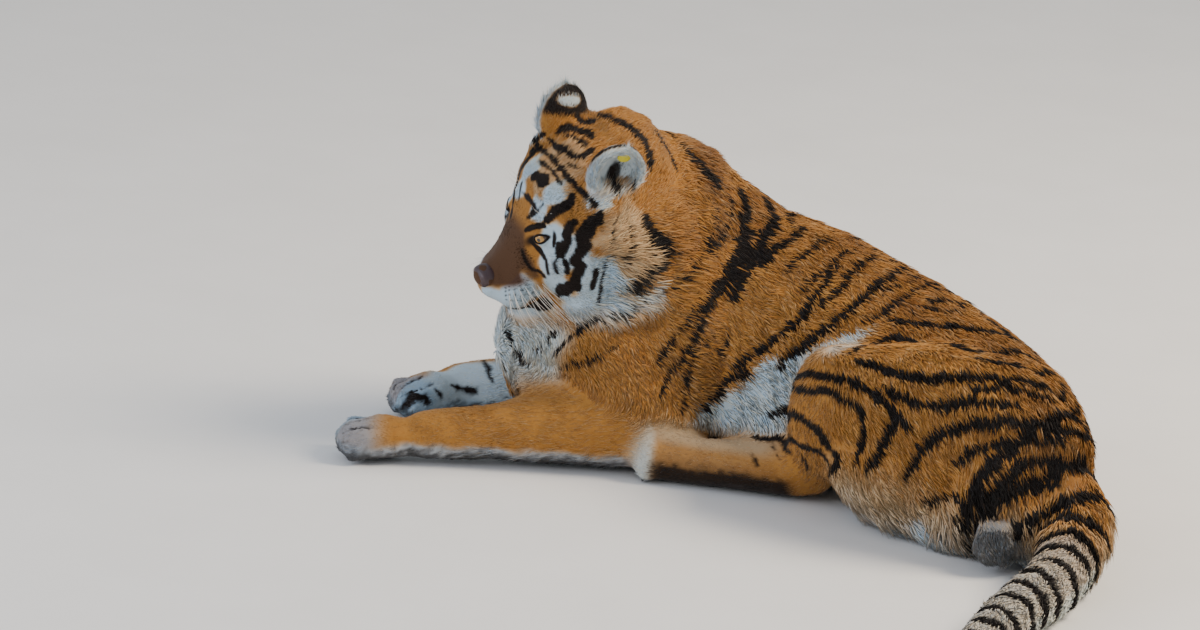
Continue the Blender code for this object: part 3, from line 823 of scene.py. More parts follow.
HEAD_STROKES = (
    (12, ((-30, -82, 140), (-46, -72, 146), (-61, -56, 148), (-71, -30, 153), (-69, 3, 155))),
    (11, ((8, -114, 118), (0, -100, 132), (-6, -84, 144))),
    (10, ((27, -109, 112), (20, -77, 125), (8, -59, 132))),
    (11, (
        (-8, -83, 133), (-10, -50, 141), (-13, -15, 147), (-19, 13, 150),
        (-28, 23, 151), (-45, 25, 153), (-60, 24, 154),
    )),
    (9, (
        (21, -65, 128), (15, -31, 137), (14, 11, 140), (16, 45, 135),
        (12, 77, 126), (9, 118, 120), (7, 134, 109),
    )),
    (8, ((38, -46, 131), (32, -16, 137), (32, 14, 137), (35, 49, 131))),
    (19, ((63, -24, 123), (60, -2, 127), (56, 24, 128))),
    (5, ((1, 18, 142), (-10, 44, 142))),
    (8, ((94, -30, 88), (92, 1, 97), (93, 23, 92), (103, 26, 78), (113, 23, 67))),
    (6, ((81, 43, 104), (93, 37, 88), (106, 29, 74))),
    (16, ((22, 80, 123), (42, 85, 115), (60, 81, 105), (78, 73, 91), (93, 65, 76))),
    (17, ((45, 113, 89), (60, 107, 78), (72, 104, 61), (74, 110, 48), (88, 107, 29), (103, 106, 12))),
    (8, ((94, 114, 9), (93, 122, -8), (100, 121, -26))),
    (20, (
        (3, 143, 97), (18, 137, 78), (36, 130, 62), (50, 129, 49),
        (54, 134, 33), (68, 130, 12), (78, 128, -7),
    )),
    (5, ((85, 82, 70), (92, 90, 49), (100, 92, 29))),
    (6, ((146, 38, 19), (149, 52, 1), (144, 67, -19), (134, 77, -29), (128, 81, -43))),
    (7, ((131, 49, 31), (126, 62, 24), (121, 74, 16), (121, 86, 5), (124, 91, -8), (125, 92, -35))),
    (5, ((102, 105, 15), (111, 105, 4), (113, 108, -8), (112, 112, -23))),
    (18, ((63, 135, -4), (74, 134, -22), (91, 132, -46), (108, 115, -62), (120, 92, -84))),
    (16, ((91, 134, -43), (88, 137, -62))),
    # A broad dark patch below the mouth line: the black lips, and past them painted shade under the muzzle.
    (27, ((200, 62, -96), (180, 62, -112), (158, 68, -120), (136, 80, -112))),
    (12, ((-59, 103, 158), (-57, 106, 137), (-52, 121, 125), (-44, 136, 117))),
    (7, ((-86, 126, 126), (-76, 142, 111))),
    (9, ((42, 149, -27), (54, 150, -47), (68, 150, -69))),
    (5, ((17, 159, 4), (27, 154, -31), (44, 155, -61), (60, 163, -92), (74, 181, -111))),
    (4, ((-32, 152, 82), (-10, 153, 48), (8, 160, 15))),
    (5, ((-48, 157, 45), (-34, 170, -4), (-11, 178, -44))),
    (17, (
        (-85, 144, 46), (-86, 158, 14), (-93, 171, -14),
        (-101, 179, -40), (-92, 184, -66), (-67, 188, -70),
    )),
    (19, ((-67, 188, -70), (-44, 190, -73), (-22, 189, -84), (-8, 188, -96))),
    (14, ((-72, -88, 152), (-88, -66, 152), (-104, -52, 152))),
    (8, ((-36, -60, 144), (-44, -36, 150), (-50, -8, 153), (-48, 10, 153))),
    (11, (
        (-119, -70, 146), (-125, -24, 163), (-135, 7, 162), (-145, 36, 156),
        (-151, 60, 141), (-148, 88, 125), (-134, 106, 98),
    )),
    (8, ((-192, 25, 124), (-196, 48, 105), (-202, 55, 67), (-199, 84, 42))),
    (6, ((-240, -34, 54), (-244, 14, 52), (-246, 48, 42))),
    (13, ((-245, 39, 47), (-252, 66, 29), (-258, 96, 7), (-258, 119, -18))),
    # These two thin strokes are a painted shadow line along the lower edge of the ruff.
    (5, (
        (140, 96, -157), (110, 153, -131), (53, 194, -118),
        (14, 201, -118), (-25, 206, -118), (-68, 214, -109),
    )),
    (5, (
        (-68, 214, -109), (-116, 217, -96), (-154, 205, -88),
        (-189, 185, -77), (-215, 168, -55), (-232, 143, -29),
    )),
    (8, ((136, 30, 46), (122, 43, 60), (108, 54, 68), (95, 70, 70))),
    (9, ((108, 78, 56), (104, 82, 44))),
)  # fmt: skip
LIMB_STROKES = (
    (15, (
        (34, 6, 15), (36, 5, 16), (42, -1, 18.5), (46, -5, 20),
        (50.5, -5, 18.5), (52.5, -3.5, 15), (55.5, -5, 12.5), (52, -1, 8),
    )),
    (11, (
        (31, 5, 11.3), (33, 4, 11), (36, 4, 11.3), (38, 4, 11.7),
        (43, -2, 14), (47, -3, 13.6), (51, -3, 12.8), (53, -3, 10.5),
    )),
    (7, ((38, 4, 11.5), (40.7, 1.6, 11.2), (43.2, -0.8, 11))),
    (4, ((34, -0.5, 9.2), (35.7, -1, 8), (37.2, -1.5, 6.8))),
    (3, ((36, 3.8, 11), (38, 1.8, 10.3), (40.6, 0.2, 8.5))),
    (4, ((46, -2, 11), (47, -1, 9.4), (46.5, 0.3, 7))),
    (15, ((-42, -9, 3.2), (-40.5, -8.2, 4.6), (-38.5, -8.2, 5.9), (-36.8, -5.8, 4.8))),
    (6, ((-37.6, -4, 7.3), (-36.2, -3.5, 6.4), (-35.3, -2.6, 5))),
    (9, ((-35.8, 0, 7.8), (-34.7, 1.5, 6.8), (-33, 2.8, 6), (-31.7, 3.7, 5.9))),
    (7, ((-34.3, 9.6, 11.2), (-32, 7, 10.8), (-30.6, 5.7, 9.3), (-29.3, 5.4, 7.8))),
    (5, ((-20.8, -8.2, 21), (-20, -8.5, 18.6), (-18.7, -8.7, 16.4), (-17.7, -8.3, 14.7))),
    (8, ((-19.2, -8.8, 24.7), (-17.3, -9.8, 23.2), (-16, -10, 21.5), (-14, -10, 20.3), (-12.5, -10, 19))),
    (5, ((-12, -10, 21.8), (-10, -9.5, 23), (-8.5, -8.5, 25.3), (-7, -8, 27.2))),
    (6, (
        (-6.8, -9.6, 21.4), (-5, -10.7, 24), (-4.4, -10.2, 25.8),
        (-2.5, -10, 27.6), (0, -9.7, 29.5), (3.2, -9.3, 31),
    )),
    (5, (
        (-6.2, -9, 19), (-1.7, -11.5, 21.5), (1.5, -12, 23),
        (4.5, -10.7, 24.7), (6, -9.5, 26.2), (7.7, -8, 27.3),
    )),
)  # fmt: skip
SHANK_STROKES = (
    (12, ((-0.01, 70), (0.03, 40), (0.05, 10), (0.06, -20))),
    (10, ((0.07, 80), (0.10, 50), (0.12, 15), (0.13, -25))),
    (11, ((0.14, 85), (0.16, 55), (0.18, 20), (0.19, -15))),
    (8, ((0.21, 80), (0.225, 50), (0.235, 20))),
)  # fmt: skip


@dataclass(frozen=True)
class Stroke:
    """One mark on the hide.

    Args:
        path: Its middle line, as rows in the row frame.
        width: Its full width in metres where it is widest.
    """

    path: Array
    width: float

    def cover(self, places: Array, wobble: Array, soft: float) -> Array:
        """How strongly the stroke marks each place, 0 to 1."""
        made = np.zeros(len(places))
        reach = self.width * 0.7 + 0.012
        low, high = self.path.min(axis=0) - reach, self.path.max(axis=0) + reach
        near = np.flatnonzero(np.all((places > low) & (places < high), axis=1))
        if not len(near):
            return made
        gap, spot = self._gap(places[near])
        taper = np.sqrt(np.clip(1 - np.abs(2 * spot - 1) ** 5.0, 0.0, 1.0))
        half = np.maximum(self.width * 0.60 * mix(0.30, 1.0, taper) * (1 + 0.22 * wobble[near]), 0.0014)
        made[near] = step(gap, half + soft, half - soft)
        return made

    def _gap(self, places: Array) -> tuple[Array, Array]:
        """Distance from the middle line and the share of the way along it."""
        best = np.full(len(places), 1e9)
        spot = np.zeros(len(places))
        count = len(self.path) - 1
        for number in range(count):
            start, way = self.path[number], self.path[number + 1] - self.path[number]
            share = np.clip((places - start) @ way / max(way @ way, 1e-12), 0, 1)
            gap = np.linalg.norm(places - start - share[:, None] * way, axis=1)
            nearer = gap < best
            best = np.where(nearer, gap, best)
            spot = np.where(nearer, (number + share) / count, spot)
        return best, spot


@dataclass
class Markings:
    """Stripes, rings and spots, read at any place on the hide.

    Args:
        skin: The hide that they are laid on.
        shift: How far back a stripe of the trunk stands on the right side.
        ridge: Degrees from the ridge, past which stripes of the left side are carried over.
        parting: Least millimetres from the middle of the head for a mark to be carried over.
        head_gain: Width of a mark of the head to the width listed.
        body_gain: The same for the trunk and limbs.
        body_edge: Millimetres added to the width of a mark of the trunk and limbs.
    """

    skin: Skin
    shift: float = 0.018
    ridge: float = 6
    parting: float = 10
    head_gain: float = 1.25
    body_gain: float = 1.15
    body_edge: float = 1.2
    cleft_width: float = 6
    spot_width: float = 2.8
    strokes: list = field(default_factory=list)

    def build(self) -> None:
        """Lays every stroke on the hide."""
        for width, points in TRUNK_STROKES:
            station, angle, _ = TRUNK_LINE.locate(from_body(points))
            near = angle > self.ridge
            self._lay(TRUNK_LINE, zip(station[near] + self.shift, -angle[near]), width)
        for sign in (1, -1):
            for width, points in HEAD_STROKES:
                beyond = self.parting - min(y for _, y, _ in points)
                kept_points = [(x, sign * y, z) for x, y, z in points if sign == 1 or y > beyond]
                if len(kept_points) > 1:
                    self._trace(from_head(np.array(kept_points) * MM), self.head_gain * width)
        for width, points in TRUNK_STROKES + LIMB_STROKES:
            self._trace(from_body(points), self.body_gain * width + self.body_edge)
        for width, rows in SHANK_STROKES:
            self._lay(HINDLEG_LINES["right"], rows, width, 0.11)
        self._rings()
        for line in (*FORELEG_LINES.values(), *HINDLEG_LINES.values()):
            for cleft in toe_clefts(line, self.skin.tree):
                self._trace(cleft, self.cleft_width)
        for sign in (1, -1):
            self._whisker_spots(sign)

    def _lay(self, line: BodyLine, rows: Iterable, width: float, far: float = 0.5) -> None:
        """Adds one stroke by stations and angles on a line, on hide no further off than far."""
        rays = [line.ray(station, angle) for station, angle in rows]
        hits = [self.skin.tree.ray_cast(start, way, far)[0] for start, way in rays]
        spots = [tuple(hit) for hit in hits if hit is not None]
        if len(spots) > 1:
            self._trace(np.array(spots), width)

    def _drop(self, places: Array) -> Array:
        """The nearest places on the hide."""
        return np.array([tuple(self.skin.tree.find_nearest(tuple(place))[0]) for place in places])

    def _trace(self, spots: Array, width: float) -> None:
        """Adds one stroke along places in the row frame, drawn down to the hide."""
        curve = curve_through(spots, 6 * len(spots))
        self.strokes.append(Stroke(self._drop(curve), width * MM))

    def _rings(self) -> None:
        """Uneven rings down the tail."""
        rng = np.random.default_rng(11)
        station = 0.035
        while station < TAIL_LINE.length - 0.07:
            tilt = rng.uniform(-0.012, 0.012)
            width = rng.uniform(20, 27)
            angles = range(-150, 151, 30)
            rows = [(station + tilt * angle / 90 + rng.uniform(-0.003, 0.003), angle) for angle in angles]
            self._lay(TAIL_LINE, rows, width)
            station += rng.uniform(0.058, 0.074)

    def _whisker_spots(self, sign: int) -> None:
        """Four rows of small dark spots on one side of the muzzle."""
        for row in range(4):
            for number in range(5):
                spot = np.array((0.212 - 0.012 * number, sign * 0.058, -0.042 - 0.009 * row - 0.002 * number))
                ends = [from_head(spot + np.array((shift, 0.0, 0.0))) for shift in (-0.0015, 0.0, 0.0015)]
                self.strokes.append(Stroke(self._drop(ends), self.spot_width * MM))

    def dark(self, places: Array, soft: float = 0.0016) -> Array:
        """How black the coat is at each place, 0 to 1."""
        wobble = ripple(places, 0.034, 3) * 0.7 + ripple(places, 0.013, 4) * 0.5
        shifted = places + np.stack([ripple(places, 0.055, seed) for seed in (5, 6, 7)], axis=1) * 0.0022
        made = np.zeros(len(places))
        for stroke in self.strokes:
            made = np.maximum(made, stroke.cover(shifted, wobble, soft))
        return made


# The edges of the pale wedge between the ribs and the thigh: degrees from the ridge, and stations.
WEDGE_FRONT = (
    (20, 29, 43, 67, 82, 95, 113, 128, 180),
    (0.82, 0.775, 0.728, 0.64, 0.54, 0.49, 0.43, 0.43, 0.40),
)
WEDGE_BACK = (
    (20, 29, 43, 59, 79, 90, 180),
    (0.70, 0.752, 0.735, 0.755, 0.76, 0.86, 1.05),
)
# White of the face, the same on both sides: middle and radii in the head's frame, and strength.
WHITE_PATCHES = (
    ((0.062, 0.050, 0.120), (0.034, 0.026, 0.022), 1.0),
    ((0.094, 0.040, 0.092), (0.028, 0.024, 0.026), 1.0),
    ((0.100, 0.084, 0.046), (0.036, 0.026, 0.044), 1.0),
    ((0.112, 0.096, -0.010), (0.030, 0.030, 0.040), 0.95),
    ((0.088, 0.100, 0.036), (0.032, 0.030, 0.050), 0.95),
    ((0.075, 0.122, 0.015), (0.042, 0.030, 0.046), 0.95),
    ((0.050, 0.150, -0.050), (0.052, 0.045, 0.056), 1.0),
    ((0.080, 0.150, -0.110), (0.085, 0.070, 0.040), 1.0),
    ((0.000, 0.175, -0.122), (0.066, 0.050, 0.034), 0.9),
    ((0.190, 0.058, -0.064), (0.062, 0.034, 0.034), 1.0),
    ((0.150, 0.000, -0.140), (0.080, 0.070, 0.050), 1.0),
    ((-0.050, 0.110, -0.190), (0.120, 0.110, 0.080), 0.95),
    ((0.030, 0.060, -0.200), (0.110, 0.080, 0.060), 1.0),
    ((0.002, 0.126, 0.112), (0.030, 0.026, 0.020), 0.9),
    ((-0.040, 0.132, 0.120), (0.030, 0.022, 0.018), 0.85),
    ((-0.020, 0.165, 0.010), (0.062, 0.050, 0.092), 0.34),
    ((0.030, 0.000, 0.138), (0.080, 0.070, 0.030), 0.24),
    ((0.216, 0.030, -0.064), (0.034, 0.040, 0.024), 1.0),
    ((0.120, 0.104, -0.060), (0.036, 0.034, 0.040), 1.0),
)


def between_edges(station: Array, angle: Array, soft: float) -> Array:
    """The pale wedge of loose skin, 0 to 1, from stations and degrees from the ridge."""
    front, back = (np.interp(angle, *edge) for edge in (WEDGE_FRONT, WEDGE_BACK))
    return step(station, front - soft, front + soft) * step(station, back + soft, back - soft)


@dataclass
class Fields:
    """The soft fields of colour under the stripes, one number for each vertex of the hide.

    Pale goes to cream and white, rust to deep red brown, which on the neck is painted shade,
    grey to a pale blue that is painted shade on pale hair, and black to solid black
    where no stripe is drawn, as on the backs of the ears and the pads, and as painted shade in the ears'
    hollows.
    """

    skin: Skin
    weights: dict = field(init=False)
    pale: Array = field(init=False)
    rust: Array = field(init=False)
    grey: Array = field(init=False)
    black: Array = field(init=False)

    def build(self) -> None:
        """Works out the four fields."""
        places = self.skin.points
        self.weights = dict(zip(PARTS, self.skin.weights.T))
        names = ("pale", "rust", "grey", "black")
        for name in names:
            setattr(self, name, np.zeros(len(places)))
        self._body(places)
        self._pouch()
        self._back(places)
        for side in SIDES:
            self._foreleg(side, places)
            self._hindleg(side, places)
        self._raise(black=0.9 * self._of(Part.PAW, Part.FOOT) * step(places[:, 2], 0.014, 0.006))
        self._tail(places)
        self._head(places)
        self._lips(places)
        for sign in (1, -1):
            self._eye_rim(places, sign)
        for sign in (1, -1):
            self._ear(places, sign)
        for name in names:
            setattr(self, name, np.clip(getattr(self, name), 0, 1))

    def _of(self, *parts: Part) -> Array:
        """How much of each vertex belongs to some stretches together."""
        return sum(self.weights[part] for part in parts)

    def _raise(self, **amounts: Array) -> None:
        """Lifts fields, by name, to an amount wherever they are under it."""
        for name, amount in amounts.items():
            setattr(self, name, np.maximum(getattr(self, name), amount))

    def _body(self, places: Array) -> None:
        """Cream below, a pale wedge before the thigh, and a pale breast, with painted blue shade over the
        wedge and the breast.
        """
        station, angle, _ = TRUNK_LINE.locate(places)
        wave = ripple(places, 0.09, 21)
        height = places[:, 2]
        trunk = self._of(Part.TRUNK, Part.BELLY)
        haunch = self._of(Part.RUMP, Part.THIGH, Part.BREECH, Part.POUCH)
        wedge = between_edges(station + 0.006 * wave, np.abs(angle), 0.012) * trunk
        wedge = np.maximum(wedge, step(self._off_fold(places) + 0.005 * wave, 0.056, 0.040) * trunk)
        below = step(np.abs(angle) + 7 * wave, 126, 150) * trunk * step(station, 0.0, 0.2)
        low = step(height + 0.012 * wave, 0.100, 0.030)
        front = places[:, 0] - ORIGIN.x + 0.008 * wave
        breast = step(front, -0.015, -0.085) * self._of(Part.TRUNK, Part.NECK, Part.ARM)
        breast = breast * step(height, 0.40, 0.33)
        self._raise(pale=np.maximum(wedge, below))
        # The low haunch is pale cream, with painted blue shade over it.
        self._raise(pale=0.85 * low * haunch, grey=0.7 * low * haunch)
        self._raise(pale=0.5 * step(height + 0.01 * wave, 0.17, 0.06) * haunch)
        # Painted blue shade over the pale breast and the wedge.
        self._raise(pale=breast, grey=np.maximum(0.6 * breast, 0.75 * wedge))

    def _off_fold(self, places: Array) -> Array:
        """Metres from the middle of the fold of skin in front of the left thigh."""
        start, end = np.array(((0.215, 0.045, 0.105), (0.385, 0.048, 0.235)))
        way, origin = end - start, np.array(ORIGIN)
        share = np.clip((places - origin - start) @ way / (way @ way), 0, 1)
        return np.linalg.norm(places - origin - start - share[:, None] * way, axis=1)

    def _pouch(self) -> None:
        """Dark hair on the scrotum, with painted blue shade over it."""
        pouch = self.weights[Part.POUCH]
        self.pale = self.pale * (1 - pouch) + 0.7 * pouch
        # Painted blue shade over the whole scrotum, darkened further by black.
        self._raise(grey=pouch, black=0.62 * pouch)

    def _back(self, places: Array) -> None:
        """A warmer ridge, and a darker red brown neck that is painted shade."""
        _, angle, _ = TRUNK_LINE.locate(places)
        wave = ripple(places, 0.09, 21)
        ridge = step(np.abs(angle), 55, 12) * self._of(Part.TRUNK, Part.BELLY, Part.RUMP)
        self._raise(rust=0.42 * ridge + 0.14 * wave)
        # Painted shade: the whole neck is darkened towards red brown.
        self._raise(rust=(0.60 + 0.15 * wave) * self.weights[Part.NECK])

    def _foreleg(self, side: str, places: Array) -> None:
        """Orange outside and above, pale inside, a dark edge, a fringe along the floor, and painted blue
        shade on the pale.
        """
        line = FORELEG_LINES[side]
        station, angle, reach = line.locate(places)
        mine = self._of(Part.FOREARM, Part.PAW) + 0.7 * self.weights[Part.ARM]
        mine = mine * step(reach, 0.20, 0.14) * step(station, 0.18, 0.26)
        wave = ripple(places, 0.06, 22)
        turned = angle + 8 * wave
        height = places[:, 2] + 0.004 * wave
        fringe = np.maximum(step(np.abs(turned), 138, 160), step(height, 0.054, 0.038))
        if side == "left":
            inside = step(turned, 80, 115)
        else:
            inside = np.maximum(step(turned, 20, -20), step(turned, 120, 150))
        streaks = 0.010 * ripple(places, 0.016, 25)
        toes = step(station, line.length - 0.050, line.length + 0.01)
        self._raise(pale=np.maximum(0.7 * fringe, inside) * mine)
        # Painted blue shade over the fringe and the inside.
        self._raise(grey=np.maximum(0.9 * fringe, 0.75 * inside) * mine)
        self._raise(black=0.85 * step(height + streaks, 0.050, 0.018) * mine)
        # The toes are pale and a little darker, under painted blue shade.
        self._raise(pale=0.55 * toes * mine, grey=toes * mine, black=0.26 * toes * mine)

    def _hindleg(self, side: str, places: Array) -> None:
        """Orange above, whitish toes under painted blue shade, a rusty edge and a black sole."""
        line = HINDLEG_LINES[side]
        station, angle, reach = line.locate(places)
        mine = self._of(Part.SHANK, Part.FOOT) * step(reach, 0.16, 0.11)
        height = places[:, 2] + 0.004 * ripple(places, 0.06, 22)
        toes = step(station, line.length - 0.015, line.length + 0.045)
        upper = step(np.abs(angle), 55, 15) * step(station, 0.24, 0.34)
        sole = step(height + 0.005 * ripple(places, 0.02, 24), 0.060, 0.040)
        sole = sole * step(station, 0.235, 0.27) * (1 - toes)
        # The toes take half of the painted blue shade.
        self._raise(pale=np.maximum(0.36 * upper, toes) * mine, grey=0.5 * toes * mine)
        self._raise(pale=0.06 * step(station, 0.24, 0.40) * mine)
        self._raise(rust=0.35 * step(height, 0.085, 0.055) * step(station, 0.24, 0.30) * mine)
        self._raise(black=0.95 * sole * mine)

    def _tail(self, places: Array) -> None:
        """Tawny near the root and on top, whitish below and further on, with a black end and painted blue
        shade.
        """
        station, angle, _ = TAIL_LINE.locate(places)
        tail = self.weights[Part.TAIL]
        below = step(np.abs(angle - 20), 70, 125)
        end = step(station, TAIL_LINE.length - 0.060, TAIL_LINE.length - 0.035)
        self._raise(pale=tail * np.maximum(below, mix(0.25, 0.70, step(station, 0.02, 0.60))))
        # Painted blue shade over the whole tail.
        self._raise(grey=0.45 * tail, black=tail * end)

    def _head(self, places: Array) -> None:
        """The white of brows, cheeks, muzzle and chin under painted blue shade, and the brown of the nose's
        bridge.
        """
        head = self._of(Part.FACE, Part.CROWN, Part.RUFF)
        x, y, z = to_head(places).T
        side = np.abs(y)
        wave = ripple(places, 0.045, 23)
        white = np.zeros(len(places))
        for middle, radii, strength in WHITE_PATCHES:
            gap = (np.stack((x, side, z), axis=1) - np.array(middle)) / np.array(radii)
            white = np.maximum(white, strength * step(np.linalg.norm(gap, axis=1) + 0.14 * wave, 1.12, 0.78))
        reach = np.interp(z, (-0.04, 0.0, 0.05), (0.070, 0.060, 0.030)) + 0.004 * wave
        bridge = step(side, reach + 0.006, reach - 0.006) * step(z, -0.050, -0.036) * step(x, 0.108, 0.138)
        self.pale = np.maximum(self.pale * (1 - head), head * np.maximum(white * (1 - bridge), 0.05 * bridge))
        self.rust = np.maximum(self.rust * (1 - head), head * bridge)
        # Painted blue shade over the white of the face.
        self._raise(rust=0.22 * head * (1 - white), grey=0.85 * head * step(white, 0.50, 0.90))
        self._raise(black=0.42 * head * bridge)

    def _lips(self, places: Array) -> None:
        """Dark skin along the line of the mouth."""
        spots = to_head(places)
        x, _, z = spots.T
        lips = np.vstack([curve_through(mouth_line(sign), 60) for sign in (1, -1)])
        near = np.flatnonzero((x > 0.08) & (z < -0.05) & (z > -0.12))
        gap = np.linalg.norm(spots[near][:, None, :] - lips[None, :, :], axis=2).min(axis=1)
        self.black[near] = np.maximum(self.black[near], step(gap, 0.0080, 0.0045))

    def _eye_rim(self, places: Array, sign: int) -> None:
        """A black rim round an eye, drawn out at its inner corner."""
        across, edge, turned, reach = eye_chart(places, sign)
        near = reach < 0.045
        rim = step(edge, 0.0058, 0.0034) * (turned < 75) * near
        tear = step(across, -0.010, -0.014) * step(np.abs(edge), 0.0105, 0.0060) * (turned < 80) * near
        self._raise(black=np.maximum(rim, tear))

    def _ear(self, places: Array, sign: int) -> None:
        """A black back with a white spot, a tawny root, pale hair inside, painted blue shade and a painted
        black hollow.
        """
        ear = (self.skin.node_of == FLESH.index("ear_left" if sign > 0 else "ear_right")).astype(float)
        for _ in range(2):
            ear = mix(ear, self.skin.spread(ear), 0.6)
        spots = to_ear(places, sign)
        across, up = spots[:, 0] / EAR_HALF_WIDTH, spots[:, 2] / EAR_HALF_HEIGHT
        facing = (self.skin.normals @ HEAD_AXES @ ear_axes(sign))[:, 1]
        inside = step(facing, -0.25, 0.15) * step(np.abs(spots[:, 1]), 0.050, 0.040)
        root = step(up, 0.22, 0.04)
        spot = step(np.hypot((across + 0.16 * sign) / 0.46, (up - 0.58) / 0.15), 1.15, 0.85)
        back = 1 - inside
        # Painted shade: the hollow of the ear is painted black.
        canal_painted_shade = step(np.hypot(across / 0.26, (up + 0.18) / 0.52), 1.15, 0.75) * inside
        self.pale = self.pale * (1 - ear) + ear * np.maximum(inside * 0.9, back * spot)
        # Painted blue shade over the pale hair inside the ear and over the white spot.
        self.grey = self.grey * (1 - ear) + ear * np.maximum(inside * 0.8, 0.7 * back * spot)
        self.black = self.black * (1 - ear) + ear * back * (1 - spot) * (1 - root)
        self._raise(black=0.95 * ear * canal_painted_shade)


# ---- the lie of the coat -------------------------------------------------------------------------
# How much the hair of each stretch of the trunk falls, to how much it runs back.
FALL = {
    Part.TRUNK: 0.30,
    Part.BELLY: 0.45,
    Part.RUMP: 0.55,
    Part.THIGH: 0.80,
    Part.BREECH: 1.3,
    Part.POUCH: 1.5,
}


@dataclass
class Lie:
    """Which way the hair lies at each vertex of the hide."""

    skin: Skin
    ways: Array = field(init=False)

    def build(self) -> None:
        """Sets the way for each stretch and lets neighbours agree."""
        places, weights = self.skin.points, self.skin.weights
        made = np.zeros_like(places)
        for number, part in enumerate(PARTS):
            share = weights[:, number]
            rows = np.flatnonzero(share > 0.01)
            if len(rows):
                made[rows] += self._wish(part, places[rows]) * share[rows][:, None]
        normals = self.skin.normals
        self.ways = unit(made - normals * dot(made, normals))
        for _ in range(24):
            eased = mix(self.ways, self.skin.spread(self.ways), 0.55)
            self.ways = unit(eased - normals * dot(eased, normals))

    def _wish(self, part: Part, places: Array) -> Array:
        """The way the hair of one stretch would lie at some places."""
        down = np.array((0.0, 0.0, -1.0))
        if part in (Part.FACE, Part.CROWN, Part.EAR, Part.RUFF):
            return self._on_head(part, places)
        if part is Part.NECK:
            return NECK_LINE.along[NECK_LINE.nearest(places)] + 0.35 * down
        if part is Part.TAIL:
            return TAIL_LINE.along[TAIL_LINE.nearest(places)]
        if part in (Part.ARM, Part.FOREARM, Part.PAW):
            return self._on_leg(FORELEG_LINES, places)
        if part in (Part.SHANK, Part.FOOT):
            return self._on_leg(HINDLEG_LINES, places)
        return TRUNK_LINE.along[TRUNK_LINE.nearest(places)] + FALL[part] * down

    def _on_leg(self, lines: dict, places: Array) -> Array:
        """Down the nearer of two legs."""
        reaches = {side: line.locate(places)[2] for side, line in lines.items()}
        left = (reaches["left"] < reaches["right"])[:, None]
        ways = {side: line.along[line.nearest(places)] for side, line in lines.items()}
        return np.where(left, ways["left"], ways["right"])

    def _on_head(self, part: Part, places: Array) -> Array:
        """Back from the nose, out and down in the ruff, and up the ears."""
        spots = to_head(places)
        sign = np.where(spots[:, 1] > 0, 1.0, -1.0)
        if part is Part.EAR:
            made = np.where((sign > 0)[:, None], ear_axes(1)[:, 2], ear_axes(-1)[:, 2])
        elif part is Part.RUFF:
            made = np.stack((np.full(len(spots), -0.75), sign * 0.42, np.full(len(spots), -0.62)), axis=1)
        else:
            made = unit(spots - np.array((0.245, 0.0, -0.030)))
            chin = step(spots[:, 2], -0.085, -0.110)[:, None]
            made = mix(made, np.array((-0.8, 0.0, -0.5)), chin)
        return made @ HEAD_AXES.T


# ---- finishes ------------------------------------------------------------------------------------
def fill(node: bpy.types.Node, inputs: dict) -> None:
    """Sets a node's inputs, by name or number, and links those whose value is another node's socket."""
    for name, value in inputs.items():
        if isinstance(value, bpy.types.NodeSocket):
            node.id_data.links.new(value, node.inputs[name])
        else:
            node.inputs[name].default_value = value


def add(
    tree: bpy.types.NodeTree, kind: str, inputs: dict | None = None, **settings: object
) -> bpy.types.Node:
    """Adds a shader node.

    Args:
        tree: The material's tree.
        kind: The node's type, such as "ShaderNodeMix".
        inputs: Values, or sockets to link from, by input name or number.
        settings: Properties to set on the node.

    Returns:
        The node.
    """
    node = tree.nodes.new(kind)
    for name, value in settings.items():
        setattr(node, name, value)
    fill(node, inputs or {})
    return node


def start_material(name: str) -> tuple[bpy.types.Material, bpy.types.NodeTree, bpy.types.Node]:
    """A new material, its tree and its surface shader."""
    made = bpy.data.materials.new(name)
    made.use_nodes = True
    return made, made.node_tree, made.node_tree.nodes["Principled BSDF"]


def layered(tree: bpy.types.NodeTree, base: object, *layers: tuple) -> bpy.types.NodeSocket:
    """Lays colours over one another.

    Args:
        tree: The material's tree.
        base: The lowest colour, or a socket.
        layers: From the lowest up, a colour or socket with the share of it that covers what is below.

    Returns:
        The socket of the finished colour.
    """
    for colour, share in layers:
        base = add(tree, "ShaderNodeMix", {0: share, 6: base, 7: colour}, data_type="RGBA").outputs[2]
    return base


def speckle(tree: bpy.types.NodeTree, size_mm: float) -> bpy.types.NodeSocket:
    """Fine uneven grain, with patches of about a given size in the object's own space."""
    place = add(tree, "ShaderNodeTexCoord").outputs["Object"]
    inputs = {"Vector": place, "Scale": 1 / (size_mm * MM), "Detail": 3.0, "Roughness": 0.6}
    return add(tree, "ShaderNodeTexNoise", inputs).outputs["Fac"]


def kept(tree: bpy.types.NodeTree, name: str) -> tuple:
    """The three numbers kept on each vertex under a name."""
    colour = add(tree, "ShaderNodeAttribute", attribute_name=name).outputs["Color"]
    return tuple(add(tree, "ShaderNodeSeparateColor", {"Color": colour}).outputs)


